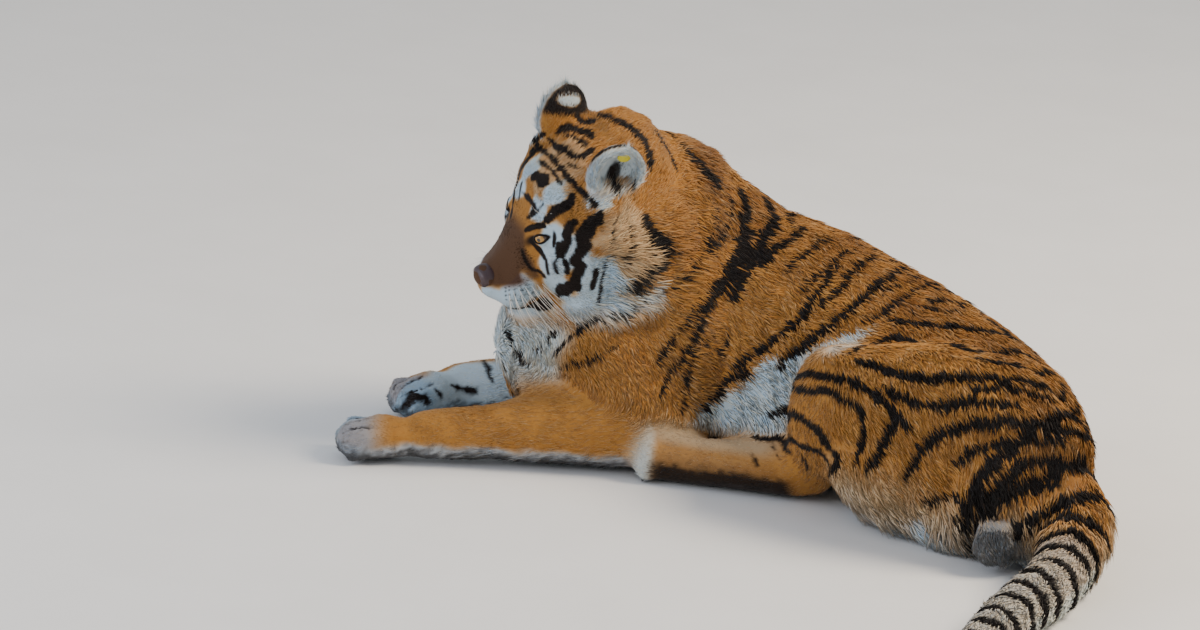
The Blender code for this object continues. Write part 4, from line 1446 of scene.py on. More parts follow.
@dataclass(frozen=True)
class Hair:
    """Guard hair over underfur, soft and slightly glossy along the strand.

    Args:
        name: The material's name.
        roughness: Of the strand's surface.
        bump_mm: Height of the finest relief.
        grain_mm: Size of that relief.
        shade: How dark the painted shade at the roots is.
        shaded: How far up the strand that painted shade goes.
        tip_light: How much lighter the tips are.
        mottle_mm: Size of the patches where the colour varies.
    """

    name: str
    roughness: float
    bump_mm: float
    grain_mm: float
    shade: float = 0.30
    shaded: float = 5 / 12
    tip_light: float = 0.30
    mottle_mm: float = 7.0

    warm = linear("#9c6322")
    light = linear("#c5954f")
    rust = linear("#5c3517")
    cream = linear("#dcd3b6")
    # Pale blue that stands for painted shade on pale hair.
    painted_shade_blue = linear("#a9c3d6")
    dark = linear("#0c0807")
    # Dark brown for the mottle in the black, and also for the painted shade at the roots.
    sooty_and_root_shade = linear("#21150e")

    def make(self) -> bpy.types.Material:
        """Tawny, cream, rust and black hair, told apart by what is kept on each strand, with painted shade at
        the roots.
        """
        made, tree, shader = start_material(self.name)
        black, pale, rust = kept(tree, "hide")
        along, chance, grey = kept(tree, "strand")
        grain = speckle(tree, self.mottle_mm)
        mottle = add(tree, "ShaderNodeMath", {0: chance, 1: grain}, operation="MULTIPLY").outputs[0]
        tips = add(tree, "ShaderNodeMapRange", {"Value": along, "To Max": self.tip_light}).outputs[0]
        roots = {"Value": along, "From Max": self.shaded, "To Min": self.shade, "To Max": 0.0}
        # Pale hair is turned towards the painted blue shade by the third number kept on each strand.
        white = layered(tree, self.cream, (self.painted_shade_blue, grey))
        ink = layered(tree, self.dark, (self.sooty_and_root_shade, mottle))
        # Painted shade: the roots are darkened, standing for the shade that the hairs cast on one another.
        shadow = add(tree, "ShaderNodeMapRange", roots).outputs[0]
        tawny = ((self.light, mottle), (self.light, tips), (self.rust, rust))
        colour = layered(tree, self.warm, *tawny, (white, pale), (ink, black), (self.sooty_and_root_shade, shadow))
        relief = {"Height": speckle(tree, self.grain_mm), "Distance": self.bump_mm * MM, "Strength": 0.6}
        fill(
            shader,
            {
                "Base Color": colour,
                "Roughness": self.roughness,
                "Specular IOR Level": 0.16,
                "Sheen Weight": 0.08,
                "Sheen Roughness": 0.45,
                "Normal": add(tree, "ShaderNodeBump", relief).outputs[0],
            },
        )
        return made


@dataclass(frozen=True)
class EyeGloss:
    """Wet cornea over an amber iris, clear enough to hold one sharp highlight."""

    pupil = linear("#050403")
    amber = linear("#8f6429")
    honey = linear("#bd8f45")
    brown = linear("#5a3a18")
    white = linear("#3a2a1e")
    # Each ring's colour is reached between two turns away from the gaze, in quarter turns.
    rings = ((brown, 0.36, 0.43), (white, 0.43, 0.48), (pupil, 0.15, 0.12))
    spokes = (5.0, 60.0, 1.0)

    def make(self) -> bpy.types.Material:
        """Pupil, streaked iris and dark edge by the turn away from the gaze."""
        made, tree, shader = start_material("wet_eye")
        away, around, _ = kept(tree, "turn")
        place = add(tree, "ShaderNodeCombineXYZ", {"X": away, "Y": around}).outputs[0]
        drawn = add(tree, "ShaderNodeVectorMath", {0: place, 1: self.spokes}, operation="MULTIPLY").outputs[0]
        streaks = add(tree, "ShaderNodeTexNoise", {"Vector": drawn, "Scale": 1.0, "Detail": 3.0}).outputs[0]
        layers = [(self.honey, streaks)]
        for colour, first, last in self.rings:
            inputs = {"Value": away, "From Min": first, "From Max": last}
            share = add(tree, "ShaderNodeMapRange", inputs, interpolation_type="SMOOTHSTEP").outputs[0]
            layers.append((colour, share))
        colour = layered(tree, self.amber, *layers)
        wet = {"Roughness": 0.06, "IOR": 1.376, "Coat Weight": 1.0, "Coat Roughness": 0.03}
        fill(shader, {"Base Color": colour, **wet})
        return made


@dataclass(frozen=True)
class NoseSkin:
    """Bare nose leather, pebbled and slightly damp, so that highlights break up over it."""

    pink = linear("#4a3436")
    mauve = linear("#32272a")
    black = linear("#0e0a0a")
    blotch_mm: float = 9.0
    pebble_mm: float = 1.6
    relief_mm: float = 0.3

    def make(self) -> bpy.types.Material:
        """Pink mauve leather, with painted black shade in the nostrils."""
        made, tree, shader = start_material("nose_leather")
        nostril = kept(tree, "turn")[0]
        # The nostrils are painted black, standing for the shade in their hollows.
        colour = layered(tree, self.mauve, (self.pink, speckle(tree, self.blotch_mm)), (self.black, nostril))
        place = add(tree, "ShaderNodeTexCoord").outputs["Object"]
        cells = add(tree, "ShaderNodeTexVoronoi", {"Vector": place, "Scale": 1 / (self.pebble_mm * MM)})
        relief = {"Height": cells.outputs["Distance"], "Distance": self.relief_mm * MM, "Strength": 0.7}
        bump = add(tree, "ShaderNodeBump", relief).outputs[0]
        fill(shader, {"Base Color": colour, "Roughness": 0.42, "Specular IOR Level": 0.5, "Normal": bump})
        return made


@dataclass(frozen=True)
class Mottled:
    """A plain surface of two close shades in soft patches.

    Args:
        name: The material's name.
        shades: The two colours.
        patch_mm: Size of the patches.
        roughness: Of the surface.
    """

    name: str
    shades: tuple
    patch_mm: float
    roughness: float

    def make(self) -> bpy.types.Material:
        """The surface as a material."""
        made, tree, shader = start_material(self.name)
        first, second = (linear(code) for code in self.shades)
        colour = layered(tree, first, (second, speckle(tree, self.patch_mm)))
        fill(shader, {"Base Color": colour, "Roughness": self.roughness})
        return made


# Stiff white whisker, smooth enough to glint along its length.
BRISTLE = Mottled("whisker_bristle", ("#f4f1ea", "#dcd3c0"), 12.0, 0.35)
# Moulded yellow plastic, satin and dulled unevenly where the ear's hair has rubbed it.
TAG_PLASTIC = Mottled("tag_moulded_plastic", ("#e3d82a", "#b9ad1e"), 5.0, 0.45)
# Matt painted floor, which takes soft shadows and no reflections.
FLOOR_PAINT = Mottled("matt_floor", ("#e9e8e6", "#dfdedb"), 300.0, 0.8)


def write_colours(mesh: bpy.types.Mesh, name: str, values: Array) -> None:
    """Keeps three numbers on each vertex under a name that materials can read."""
    layer = mesh.color_attributes.new(name=name, type="FLOAT_COLOR", domain="POINT")
    full = np.ones((len(values), 4), dtype=np.float32)
    full[:, :3] = values
    layer.data.foreach_set("color", full.ravel())


def dress(skin: Skin, fields: Fields, markings: Markings, finish: bpy.types.Material) -> None:
    """Gives the bare hide the same marks as the coat over it."""
    black = np.maximum(markings.dark(skin.points), fields.black)
    write_colours(skin.obj.data, "hide", np.stack((black, fields.pale, fields.rust), axis=1))
    # The hide is read a quarter of the way up a strand, so it takes part of the painted shade at the roots;
    # the third number is the painted blue shade.
    half = np.full(len(skin.points), 0.25)
    write_colours(skin.obj.data, "strand", np.stack((half, half * 2, fields.grey), axis=1))
    skin.obj.data.materials.append(finish)


# ---- the coat ------------------------------------------------------------------------------------
@dataclass
class Coat:
    """Everything the pieces of the coat are made from."""

    skin: Skin
    fields: Fields
    lie: Lie
    markings: Markings
    corners: Array = field(init=False)
    areas: Array = field(init=False)
    uvs: Array = field(init=False)

    def __post_init__(self) -> None:
        """Takes the triangles, their areas and their places on the unwrap."""
        mesh = self.skin.obj.data
        corners = np.empty(len(mesh.polygons) * 3, dtype=int)
        mesh.polygons.foreach_get("vertices", corners)
        self.corners = corners.reshape(-1, 3)
        uvs = np.empty(len(mesh.loops) * 2)
        mesh.uv_layers["OFBake"].data.foreach_get("uv", uvs)
        self.uvs = uvs.reshape(-1, 3, 2)
        a, b, c = (self.skin.points[self.corners[:, k]] for k in range(3))
        self.areas = np.linalg.norm(np.cross(b - a, c - a), axis=1) / 2


@dataclass
class Tufts:
    """The tufts of one piece, a row for each, with what the hide is like under them.

    Args:
        coat: What they are made from.
        faces: The triangle of the hide under each root.
        shares: The root's place between that triangle's corners.
    """

    coat: Coat
    faces: Array
    shares: Array
    roots: Array = field(init=False)
    normals: Array = field(init=False)
    ways: Array = field(init=False)
    sides: Array = field(init=False)
    sizes: dict = field(default_factory=dict)

    def __post_init__(self) -> None:
        """Finds the roots."""
        self.roots = self.read(self.coat.skin.points)

    def __len__(self) -> int:
        """How many tufts there are."""
        return len(self.roots)

    def read(self, values: Array) -> Array:
        """Values of the hide's vertices, read at the roots."""
        near = values[self.coat.corners[self.faces]]
        if values.ndim == 1:
            return np.sum(near * self.shares, axis=1)
        return np.einsum("nk,nkd->nd", self.shares, near)

    def keep(self, chosen: Array) -> None:
        """Drops every tuft that isn't chosen, and reads the lie and size of the others."""
        self.faces, self.shares, self.roots = self.faces[chosen], self.shares[chosen], self.roots[chosen]
        self.normals = unit(self.read(self.coat.skin.normals))
        ways = self.read(self.coat.lie.ways)
        self.ways = unit(ways - self.normals * dot(ways, self.normals))
        weights = self.read(self.coat.skin.weights)
        for name in ("length", "width", "lift"):
            self.sizes[name] = weights @ np.array([getattr(FURS[part], name) for part in PARTS])

    def turn(self, yaw: Array) -> None:
        """Turns each tuft on the hide, in radians."""
        sides = np.cross(self.normals, self.ways)
        self.ways = self.ways * np.cos(yaw)[:, None] + sides * np.sin(yaw)[:, None]
        self.sides = np.cross(self.normals, self.ways)

    def ring(self, centre: Array, width: Array) -> list:
        """Three corners round each tuft, flat below."""
        low = centre - self.normals * width * 0.12
        half = self.sides * width * 0.5
        return [low - half, low + half, centre + self.normals * width * 0.32]


class Form(Enum):
    """The form of a tuft: its faces by corner, ring by ring from the root, and how far up each corner is."""

    STRAIGHT = (((2, 1, 0), (0, 1, 3), (1, 2, 3), (2, 0, 3)), (0, 0, 0, 1.0))
    BENT = (
        ((2, 1, 0), (0, 1, 4, 3), (1, 2, 5, 4), (2, 0, 3, 5), (3, 4, 6), (4, 5, 6), (5, 3, 6)),
        (0, 0, 0, 0.45, 0.45, 0.45, 1.0),
    )

    def __init__(self, faces: tuple, along: tuple) -> None:
        """Keeps the parts of the value under names."""
        self.faces = faces
        self.along = along

    @property
    def chart(self) -> Array:
        """Each corner's place on the unwrap, from 0 to 1."""
        across = (0.0, 1.0, 0.5) * (len(self.along) // 3) + (0.5,)
        return np.stack((across, self.along), axis=1)


@dataclass
class CoatPiece:
    """One joined mesh of solid tufts over some stretches of the body.

    Args:
        name: The piece's name.
        parts: The stretches it covers.
        count: How many tufts it has.
        form: The form of each tuft.
        seed: Picks one set of random draws.
        side: 1 or -1 for one side of the trunk only, or 0.
    """

    name: str
    parts: tuple
    count: int
    form: Form
    seed: int
    side: int = 0

    def build(self, coat: Coat, finish: bpy.types.Material) -> bpy.types.Object:
        """Grows the tufts and puts the piece in the frame."""
        rng = np.random.default_rng(self.seed)
        tufts = self._root(coat, rng)
        tufts.keep(self._allowed(tufts))
        self._vary(tufts, rng)
        roots = tufts.roots
        yaw = rng.normal(0, 9, len(tufts)) + 13 * ripple(roots, 0.070, 31) + 8 * ripple(roots, 0.025, 32)
        tufts.turn(np.radians(yaw))
        mesh = self._mesh(tufts, self._shape(tufts, rng))
        self._tones(mesh, tufts, rng)
        obj = bpy.data.objects.new(self.name, mesh)
        bpy.context.scene.collection.objects.link(obj)
        mesh.materials.append(finish)
        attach(obj, BODY)
        return obj

    def _root(self, coat: Coat, rng: np.random.Generator) -> Tufts:
        """Tufts spread evenly over the piece's stretches, each in a random place in its triangle."""
        count = self.count
        density = coat.skin.weights @ np.array([FURS[p].share if p in self.parts else 0.0 for p in PARTS])
        mass = coat.areas * density[coat.corners].mean(axis=1)
        if self.side:
            _, angle, _ = TRUNK_LINE.locate(coat.skin.points)
            mass = mass * (np.sign(angle[coat.corners[:, 0]]) == self.side)
        total = np.cumsum(mass)
        picks = (np.arange(count) + rng.random(count)) / count * total[-1]
        faces = np.searchsorted(total, picks)
        first, second = np.sqrt(rng.random(count)), rng.random(count)
        shares = np.stack((1 - first, first * (1 - second), first * second), axis=1)
        return Tufts(coat, np.minimum(faces, len(total) - 1), shares)

    def _allowed(self, tufts: Tufts) -> Array:
        """Leaves the floor flats, the open eyes, the nose pad and the place of the tag bare."""
        roots = tufts.roots
        bare = (roots[:, 2] < 0.013) & (tufts.read(tufts.coat.skin.normals)[:, 2] < -0.35)
        if Part.FACE in self.parts or Part.CROWN in self.parts:
            for sign in (1, -1):
                _, edge, turned, reach = eye_chart(roots, sign)
                bare |= (edge < 0.0016) & (turned < 80) & (reach < 0.040)
            pad = (to_head(roots) - NOSE_MIDDLE) / np.array(NOSE_PAD_RADII)
            bare |= (np.linalg.norm(pad, axis=1) < 1.12) & (pad[:, 0] > 0.20)
            bare |= np.linalg.norm(roots - np.array(box_middle("ear_tag")), axis=1) < 0.018
        return ~bare

    def _vary(self, tufts: Tufts, rng: np.random.Generator) -> None:
        """Uneven tufts, longer in the ears, and shorter at the eyes and nose."""
        sizes, roots, count = tufts.sizes, tufts.roots, len(tufts)
        sizes["length"] = sizes["length"] * rng.uniform(0.72, 1.22, count)
        sizes["width"] = sizes["width"] * rng.uniform(0.70, 1.25, count)
        sizes["lift"] = sizes["lift"] + rng.normal(0, 4, count) + 4 * ripple(roots, 0.05, 33)
        if Part.EAR in self.parts:
            for sign in (1, -1):
                spots = to_ear(roots, sign)
                mine = (np.abs(spots[:, 0]) < 0.062) & (spots[:, 1] > 0.0) & (np.abs(spots[:, 2]) < 0.070)
                inner = mine * step(spots[:, 1], 0.000, 0.010) * rng.uniform(0.4, 1.0, count)
                sizes["length"] = sizes["length"] * (1 + 1.3 * inner)
                sizes["lift"] = sizes["lift"] + 14 * inner
        if Part.FACE in self.parts:
            for sign in (1, -1):
                _, edge, turned, reach = eye_chart(roots, sign)
                close = (turned < 90) & (reach < 0.050)
                short = np.where(close, mix(0.30, 1.0, step(edge, 0.002, 0.020)), 1.0)
                sizes["length"] = sizes["length"] * short
            nose = np.linalg.norm(to_head(roots) - np.array(NOSE_AT), axis=1)
            sizes["length"] = sizes["length"] * mix(0.50, 1.0, step(nose, 0.030, 0.100))

    def _shape(self, tufts: Tufts, rng: np.random.Generator) -> Array:
        """The corners of every tuft, ring by ring, with the tip last."""
        lift = np.radians(np.clip(tufts.sizes["lift"], 4, 45))[:, None]
        length, width = tufts.sizes["length"][:, None], tufts.sizes["width"][:, None]
        normals, ways, sides = tufts.normals, tufts.ways, tufts.sides
        bend = rng.normal(0, 0.06, (len(tufts), 1))
        start = tufts.roots - normals * 0.0012
        if self.form is Form.STRAIGHT:
            tip = start + (normals * np.sin(lift * 0.8) + ways * np.cos(lift * 0.8)) * length
            rings = tufts.ring(start, width)
        else:
            rise = normals * np.sin(lift) + ways * np.cos(lift)
            middle = start + rise * length * 0.42 + sides * length * bend * 0.4
            level = normals * np.sin(lift * 0.30) + ways * np.cos(lift * 0.30)
            tip = middle + level * length * 0.58 + sides * length * bend * 1.6
            rings = tufts.ring(start, width * 0.75) + tufts.ring(middle, width)
        corners = np.stack([*rings, tip], axis=1)
        corners[:, :, 2] = np.maximum(corners[:, :, 2], FLOOR_GAP)
        return corners

    def _mesh(self, tufts: Tufts, corners: Array) -> bpy.types.Mesh:
        """One mesh of all the tufts, with its unwrap."""
        count, each = corners.shape[:2]
        pattern = np.array([corner for face in self.form.faces for corner in face])
        mesh = bpy.data.meshes.new(self.name)
        mesh.vertices.add(count * each)
        mesh.vertices.foreach_set("co", corners.ravel())
        loops = (np.arange(count)[:, None] * each + pattern[None, :]).ravel()
        mesh.loops.add(len(loops))
        mesh.loops.foreach_set("vertex_index", loops)
        totals = np.tile([len(face) for face in self.form.faces], count)
        mesh.polygons.add(len(totals))
        mesh.polygons.foreach_set("loop_start", np.concatenate([[0], np.cumsum(totals)[:-1]]))
        mesh.polygons.foreach_set("use_smooth", np.ones(len(totals), dtype=bool))
        mesh.update(calc_edges=True)
        patches = np.einsum("nk,nkd->nd", tufts.shares, tufts.coat.uvs[tufts.faces])
        spread = (self.form.chart[pattern] - 0.5) * 0.003
        uv = mesh.uv_layers.new(name="OFBake")
        uv.data.foreach_set("uv", (patches[:, None, :] + spread[None, :, :]).ravel())
        return mesh

    def _tones(self, mesh: bpy.types.Mesh, tufts: Tufts, rng: np.random.Generator) -> None:
        """Writes on every tuft what its hair is like, as seen halfway up it."""
        fields, count, each = tufts.coat.fields, len(tufts), len(self.form.along)
        seen = tufts.roots + tufts.ways * (tufts.sizes["length"] * 0.55)[:, None]
        black = np.maximum(tufts.coat.markings.dark(seen), tufts.read(fields.black))
        black = np.clip(black * 1.25 - 0.12 + rng.normal(0, 0.03, count), 0, 1)
        pale = np.clip(tufts.read(fields.pale) + rng.normal(0, 0.07, count), 0, 1)
        # Each tuft takes its own share of the painted blue shade.
        grey = np.clip(tufts.read(fields.grey) * rng.uniform(0.5, 1.4, count), 0, 1)
        hide = np.stack((black, pale, tufts.read(fields.rust)), axis=1)
        strand = np.stack((np.zeros(count), rng.random(count), grey), axis=1)
        strand = np.repeat(strand, each, axis=0)
        strand[:, 0] = np.tile(self.form.along, count)
        write_colours(mesh, "hide", np.repeat(hide, each, axis=0))
        write_colours(mesh, "strand", strand)


COAT_PIECES = (
    CoatPiece("coat_face", (Part.FACE, Part.EAR), 46000, Form.STRAIGHT, 101),
    CoatPiece("coat_crown", (Part.CROWN, Part.RUFF), 19500, Form.BENT, 102),
    CoatPiece("coat_neck", (Part.NECK, Part.ARM), 19500, Form.BENT, 103),
    CoatPiece("coat_flank_left", (Part.TRUNK, Part.BELLY), 19800, Form.BENT, 104, 1),
    CoatPiece("coat_flank_right", (Part.TRUNK, Part.BELLY), 14000, Form.BENT, 105, -1),
    CoatPiece("coat_rump", (Part.RUMP, Part.BREECH), 19500, Form.BENT, 106),
    CoatPiece("coat_thighs", (Part.THIGH, Part.POUCH), 17000, Form.BENT, 107),
    CoatPiece("coat_legs", (Part.SHANK, Part.FOOT, Part.FOREARM, Part.PAW), 46000, Form.STRAIGHT, 108),
    CoatPiece("coat_tail", (Part.TAIL,), 12000, Form.BENT, 109),
)


# ---- eyes, nose, whiskers and tag ----------------------------------------------------------------
def add_mesh(name: str, points: Array, faces: list, smooth: bool = True) -> bpy.types.Object:
    """A mesh object in the scene, from rows of places in the row frame."""
    mesh = bpy.data.meshes.new(name)
    mesh.from_pydata(points.tolist(), [], faces)
    mesh.polygons.foreach_set("use_smooth", np.full(len(faces), smooth))
    mesh.update()
    obj = bpy.data.objects.new(name, mesh)
    bpy.context.scene.collection.objects.link(obj)
    return obj


def ball(rings: int, turns: int) -> tuple[Array, list]:
    """A closed unit ball with its poles on x: its places and its faces, which face out."""
    points = [(1.0, 0.0, 0.0)]
    for ring in range(1, rings):
        polar = math.pi * ring / rings
        for turn in range(turns):
            round_angle = 2 * math.pi * turn / turns
            radius = math.sin(polar)
            points.append((math.cos(polar), radius * math.cos(round_angle), radius * math.sin(round_angle)))
    points.append((-1.0, 0.0, 0.0))
    faces = [(0, 1 + t, 1 + (t + 1) % turns) for t in range(turns)]
    for ring in range(rings - 2):
        base = 1 + ring * turns
        for turn in range(turns):
            after = (turn + 1) % turns
            faces.append((base + turn, base + turns + turn, base + turns + after, base + after))
    last = len(points) - 1
    base = last - turns
    faces += [(last, base + (t + 1) % turns, base + t) for t in range(turns)]
    return np.array(points), faces


@dataclass
class Eye:
    """An eyeball with a cornea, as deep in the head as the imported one.

    Args:
        sign: 1 for the left eye and -1 for the right.
        gaze: Where the left one looks, in the head's frame.
        bulge: How far the cornea stands out, as a share of the radius.
        inset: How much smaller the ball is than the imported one.
    """

    sign: int
    gaze: tuple = (0.80, 0.50, 0.30)
    bulge: float = 0.045
    inset: float = 0.0002

    def build(self, finish: bpy.types.Material) -> bpy.types.Object:
        """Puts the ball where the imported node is."""
        side = "left" if self.sign > 0 else "right"
        points, faces = ball(40, 64)
        away = np.degrees(np.arccos(np.clip(points[:, 0], -1, 1)))
        bulge = 1 + self.bulge * step(away, 46, 20)
        forward = unit(np.array((self.gaze[0], self.sign * self.gaze[1], self.gaze[2])))
        aside = unit(np.cross((0.0, 0.0, 1.0), forward))
        axes = np.stack((forward, aside, np.cross(forward, aside)), axis=1)
        shaped = points * (bulge * (EYE_RADIUS - self.inset))[:, None]
        placed = from_head(shaped @ axes.T + from_eye(self.sign))
        obj = add_mesh(f"eyeball_{side}", placed, faces)
        around = np.arctan2(points[:, 2], points[:, 1]) / (2 * math.pi) + 0.5
        write_colours(obj.data, "turn", np.stack((away / 90, around, around * 0), axis=1))
        obj.data.materials.append(finish)
        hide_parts(f"eye_{side}")
        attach(obj, BODY)
        return obj


@dataclass
class NosePad:
    """The bare pad: broad above, narrow at the lip, with two comma nostrils and a cleft.

    Args:
        squareness: Power of the ball's places, under 1 for a boxier pad.
        lip: Width of the pad's foot to that of its top.
        cleft: Depth of the cleft.
        nostril: Depth of the nostrils.
        rim: Height of the rim round them.
        front: How far the front stands before it is flattened.
        flattened: How much of the rest is kept.
    """

    squareness: float = 0.90
    lip: float = 0.62
    cleft: float = 0.0022
    nostril: float = 0.0085
    rim: float = 0.0014
    front: float = 0.008
    flattened: float = 0.62

    def build(self, finish: bpy.types.Material) -> bpy.types.Object:
        """Models the pad on a ball and sets it on the muzzle."""
        points, faces = ball(72, 96)
        shaped = np.sign(points) * np.abs(points) ** self.squareness * np.array(NOSE_PAD_RADII)
        x, y, z = shaped.T
        y = y * mix(self.lip, 1.0, step(z, -0.020, 0.002))
        front = step(points[:, 0], 0.0, 0.35)
        cleft = self.cleft * np.exp(-((y / 0.0016) ** 2)) * step(z, 0.006, -0.004) * front
        side = np.abs(y)
        hole = np.hypot((side - 0.0105) / 0.0052, (z + 0.0035) / 0.0048)
        slit = np.hypot((side - 0.0185) / 0.0085, (z + 0.0055 + 0.16 * (side - 0.0105)) / 0.0019)
        dent = np.maximum(step(hole, 1.25, 0.55), 0.8 * step(slit, 1.25, 0.55)) * front
        rim = self.rim * np.exp(-(((hole - 1.5) / 0.35) ** 2)) * front
        x = x - cleft - self.nostril * dent + rim
        x = np.where(x > self.front, self.front + (x - self.front) * self.flattened, x)
        placed = from_head(np.stack((x, y, z), axis=1) + NOSE_MIDDLE)
        obj = add_mesh("nose_leather", placed, faces)
        # The nostrils' dents are kept, for the nose finish to paint them black as shade.
        write_colours(obj.data, "turn", np.stack((dent, dent * 0, dent * 0), axis=1))
        obj.data.materials.append(finish)
        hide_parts("nose_pad")
        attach(obj, BODY)
        return obj


@dataclass
class Whiskers:
    """Tapered bristles in rows on the pads of the lip, with a few over each eye.

    Args:
        skin: The hide that they are rooted in.
        sides: Corners round each bristle.
        rings: Rings of corners along it.
        lip_radius: Radius of those of the lip at the root.
        brow_radius: The same over the eyes.
        droop: How far a bristle sags, as a share of its length.
        taper: Share of the radius lost along it.
    """

    skin: Skin
    sides: int = 5
    rings: int = 7
    lip_radius: float = 0.00062
    brow_radius: float = 0.00050
    droop: float = 0.42
    taper: float = 0.85
    points: list = field(default_factory=list)
    faces: list = field(default_factory=list)

    def build(self, finish: bpy.types.Material) -> bpy.types.Object:
        """Roots each bristle on the hide and bends it back and down."""
        rng = np.random.default_rng(61)
        for sign in (1, -1):
            for row, height in enumerate((-0.046, -0.054, -0.062, -0.070)):
                for number in range(7):
                    root = np.array((0.206 - 0.012 * number, sign * 0.062, height - 0.002 * number))
                    reach = rng.uniform(0.050, 0.070) + 0.009 * number
                    way = np.array((0.45 - 0.14 * number, sign * 0.8, -0.75 - 0.22 * row))
                    self._bristle(root, unit(way) + rng.normal(0, 0.07, 3), reach, self.lip_radius)
            for number in range(4):
                root = np.array((0.100 - 0.008 * number, sign * (0.050 + 0.006 * number), 0.090))
                reach = rng.uniform(0.045, 0.075)
                way = np.array((0.35, sign * (0.3 + 0.1 * number), 0.9))
                self._bristle(root, unit(way) + rng.normal(0, 0.07, 3), reach, self.brow_radius)
        obj = add_mesh("whiskers", np.vstack(self.points), self.faces)
        obj.data.materials.append(finish)
        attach(obj, BODY)
        return obj

    def _bristle(self, root: Array, way: Array, reach: float, radius: float) -> None:
        """Adds one closed bristle, by its root and way in the head's frame."""
        spot, normal, _, _ = self.skin.tree.find_nearest(tuple(from_head(root)))
        spot, normal = np.array(spot), np.array(normal)
        way = unit(HEAD_AXES @ way + 0.35 * normal)
        sag = HEAD_AXES @ np.array((-0.65, 0.0, -0.45))
        aside = unit(np.cross(way, (0.31, 0.22, 0.92)))
        across = np.cross(way, aside)
        rows = []
        for ring in range(self.rings):
            share = ring / self.rings
            centre = spot - normal * 0.002 + way * reach * share + sag * reach * self.droop * share**2
            thick = radius * (1 - self.taper * share)
            for turn in range(self.sides):
                angle = 2 * math.pi * turn / self.sides
                rows.append(centre + thick * (aside * math.cos(angle) + across * math.sin(angle)))
        rows.append(spot + way * reach + sag * reach * self.droop)
        base = sum(len(part) for part in self.points)
        self.points.append(np.array(rows))
        self._close(base)

    def _close(self, base: int) -> None:
        """Adds the faces of the bristle whose corners start at a number."""
        count = self.sides
        turns = [(turn, (turn + 1) % count) for turn in range(count)]
        self.faces.append(tuple(base + turn for turn in reversed(range(count))))
        for low in range(base, base + (self.rings - 1) * count, count):
            high = low + count
            self.faces += [(low + turn, low + after, high + after, high + turn) for turn, after in turns]
        last, tip = base + (self.rings - 1) * count, base + self.rings * count
        self.faces += [(last + turn, last + after, tip) for turn, after in turns]


# ---- the studio ----------------------------------------------------------------------------------
@dataclass(frozen=True)
class SoftLight:
    """A square light aimed at the animal."""

    name: str
    place: tuple
    size: float
    watts: float
    colour: str

    def build(self) -> None:
        """Hangs the light."""
        data = bpy.data.lights.new(self.name, "AREA")
        data.size = self.size
        data.energy = self.watts
        data.color = linear(self.colour)[:3]
        obj = bpy.data.objects.new(self.name, data)
        obj.location = self.place
        way = Vector((0.0, 0.0, 0.3)) - Vector(self.place)
        obj.rotation_euler = way.to_track_quat("-Z", "Y").to_euler()
        bpy.context.scene.collection.objects.link(obj)


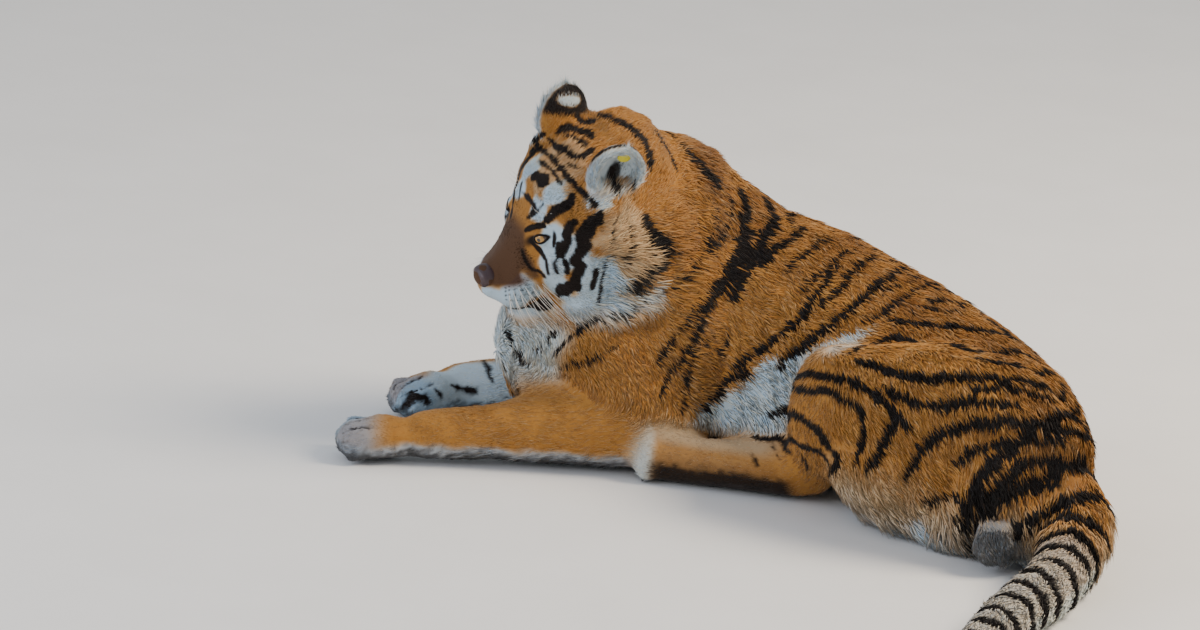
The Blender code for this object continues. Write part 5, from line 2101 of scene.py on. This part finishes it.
@dataclass
class Studio:
    """A pale floor, soft lights and the camera."""

    azimuth: float = 30.0
    elevation: float = 17.0
    roll: float = 4.0
    distance: float = 12.0
    lens_mm: float = 180
    sensor_mm: float = 36
    aim: tuple = (-0.0590, 0.0623, 0.2728)
    floor_half: float = 30.0
    sky: float = 0.72
    lights: tuple = (
        SoftLight("key", (3.4, 2.2, 4.4), 2.4, 470.0, "#ffeed6"),
        SoftLight("fill", (-3.6, -3.4, 3.0), 3.6, 110.0, "#dfeaff"),
        SoftLight("face", (-2.2, -4.6, 1.9), 1.8, 55.0, "#f4f6ff"),
    )

    def build(self) -> None:
        """Sets everything that isn't part of the animal."""
        self._floor()
        self._world()
        for light in self.lights:
            light.build()
        self._camera()

    def _floor(self) -> None:
        """A wide matt floor."""
        size = self.floor_half
        corners = np.array([(x * size, y * size, 0.0) for x, y in ((-1, -1), (1, -1), (1, 1), (-1, 1))])
        floor = add_mesh("floor", corners, [(0, 1, 2, 3)], smooth=False)
        floor.data.materials.append(FLOOR_PAINT.make())

    def _world(self) -> None:
        """Even light from all round."""
        world = bpy.data.worlds.new("studio")
        world.use_nodes = True
        fill(world.node_tree.nodes["Background"], {"Color": linear("#e6ebf2"), "Strength": self.sky})
        bpy.context.scene.world = world

    def _camera(self) -> None:
        """A long lens from the front left and a little above, turned slightly."""
        a, e, r = (math.radians(v) for v in (self.azimuth, self.elevation, self.roll))
        back = Vector((math.sin(a) * math.cos(e), -math.cos(a) * math.cos(e), math.sin(e)))
        right = Vector((math.cos(a), math.sin(a), 0.0))
        up = back.cross(right)
        tilted = right * math.cos(r) + up * math.sin(r)
        upright = up * math.cos(r) - right * math.sin(r)
        data = bpy.data.cameras.new("camera")
        data.lens = self.lens_mm
        data.sensor_width = self.sensor_mm
        data.clip_end = 200
        obj = bpy.data.objects.new("camera", data)
        turn = Matrix((tilted, upright, back)).transposed().to_4x4()
        obj.matrix_world = Matrix.Translation(ORIGIN + Vector(self.aim) + back * self.distance) @ turn
        bpy.context.scene.collection.objects.link(obj)
        bpy.context.scene.camera = obj


def main() -> None:
    """Builds the animal and its stage in order."""
    skin = Skin()
    skin.build()
    log.info("skin: %d triangles", len(skin.obj.data.polygons))
    fields = Fields(skin)
    fields.build()
    lie = Lie(skin)
    lie.build()
    markings = Markings(skin)
    markings.build()
    log.info("markings: %d strokes", len(markings.strokes))
    dress(skin, fields, markings, Hair("underfur", 0.80, 0.60, 1.6).make())
    coat = Coat(skin, fields, lie, markings)
    guard_hair = Hair("guard_hair", 0.66, 0.35, 1.1).make()
    for piece in COAT_PIECES:
        made = piece.build(coat, guard_hair)
        log.info("%s: %d faces", made.name, len(made.data.polygons))
    gloss = EyeGloss().make()
    for sign in (1, -1):
        Eye(sign).build(gloss)
    NosePad().build(NoseSkin().make())
    Whiskers(skin).build(BRISTLE.make())
    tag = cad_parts["ear_tag"]
    tag.data.materials.clear()
    tag.data.materials.append(TAG_PLASTIC.make())
    log.info("eyes, nose, whiskers and tag")
    Studio().build()


if __name__ == "__main__":
    main()
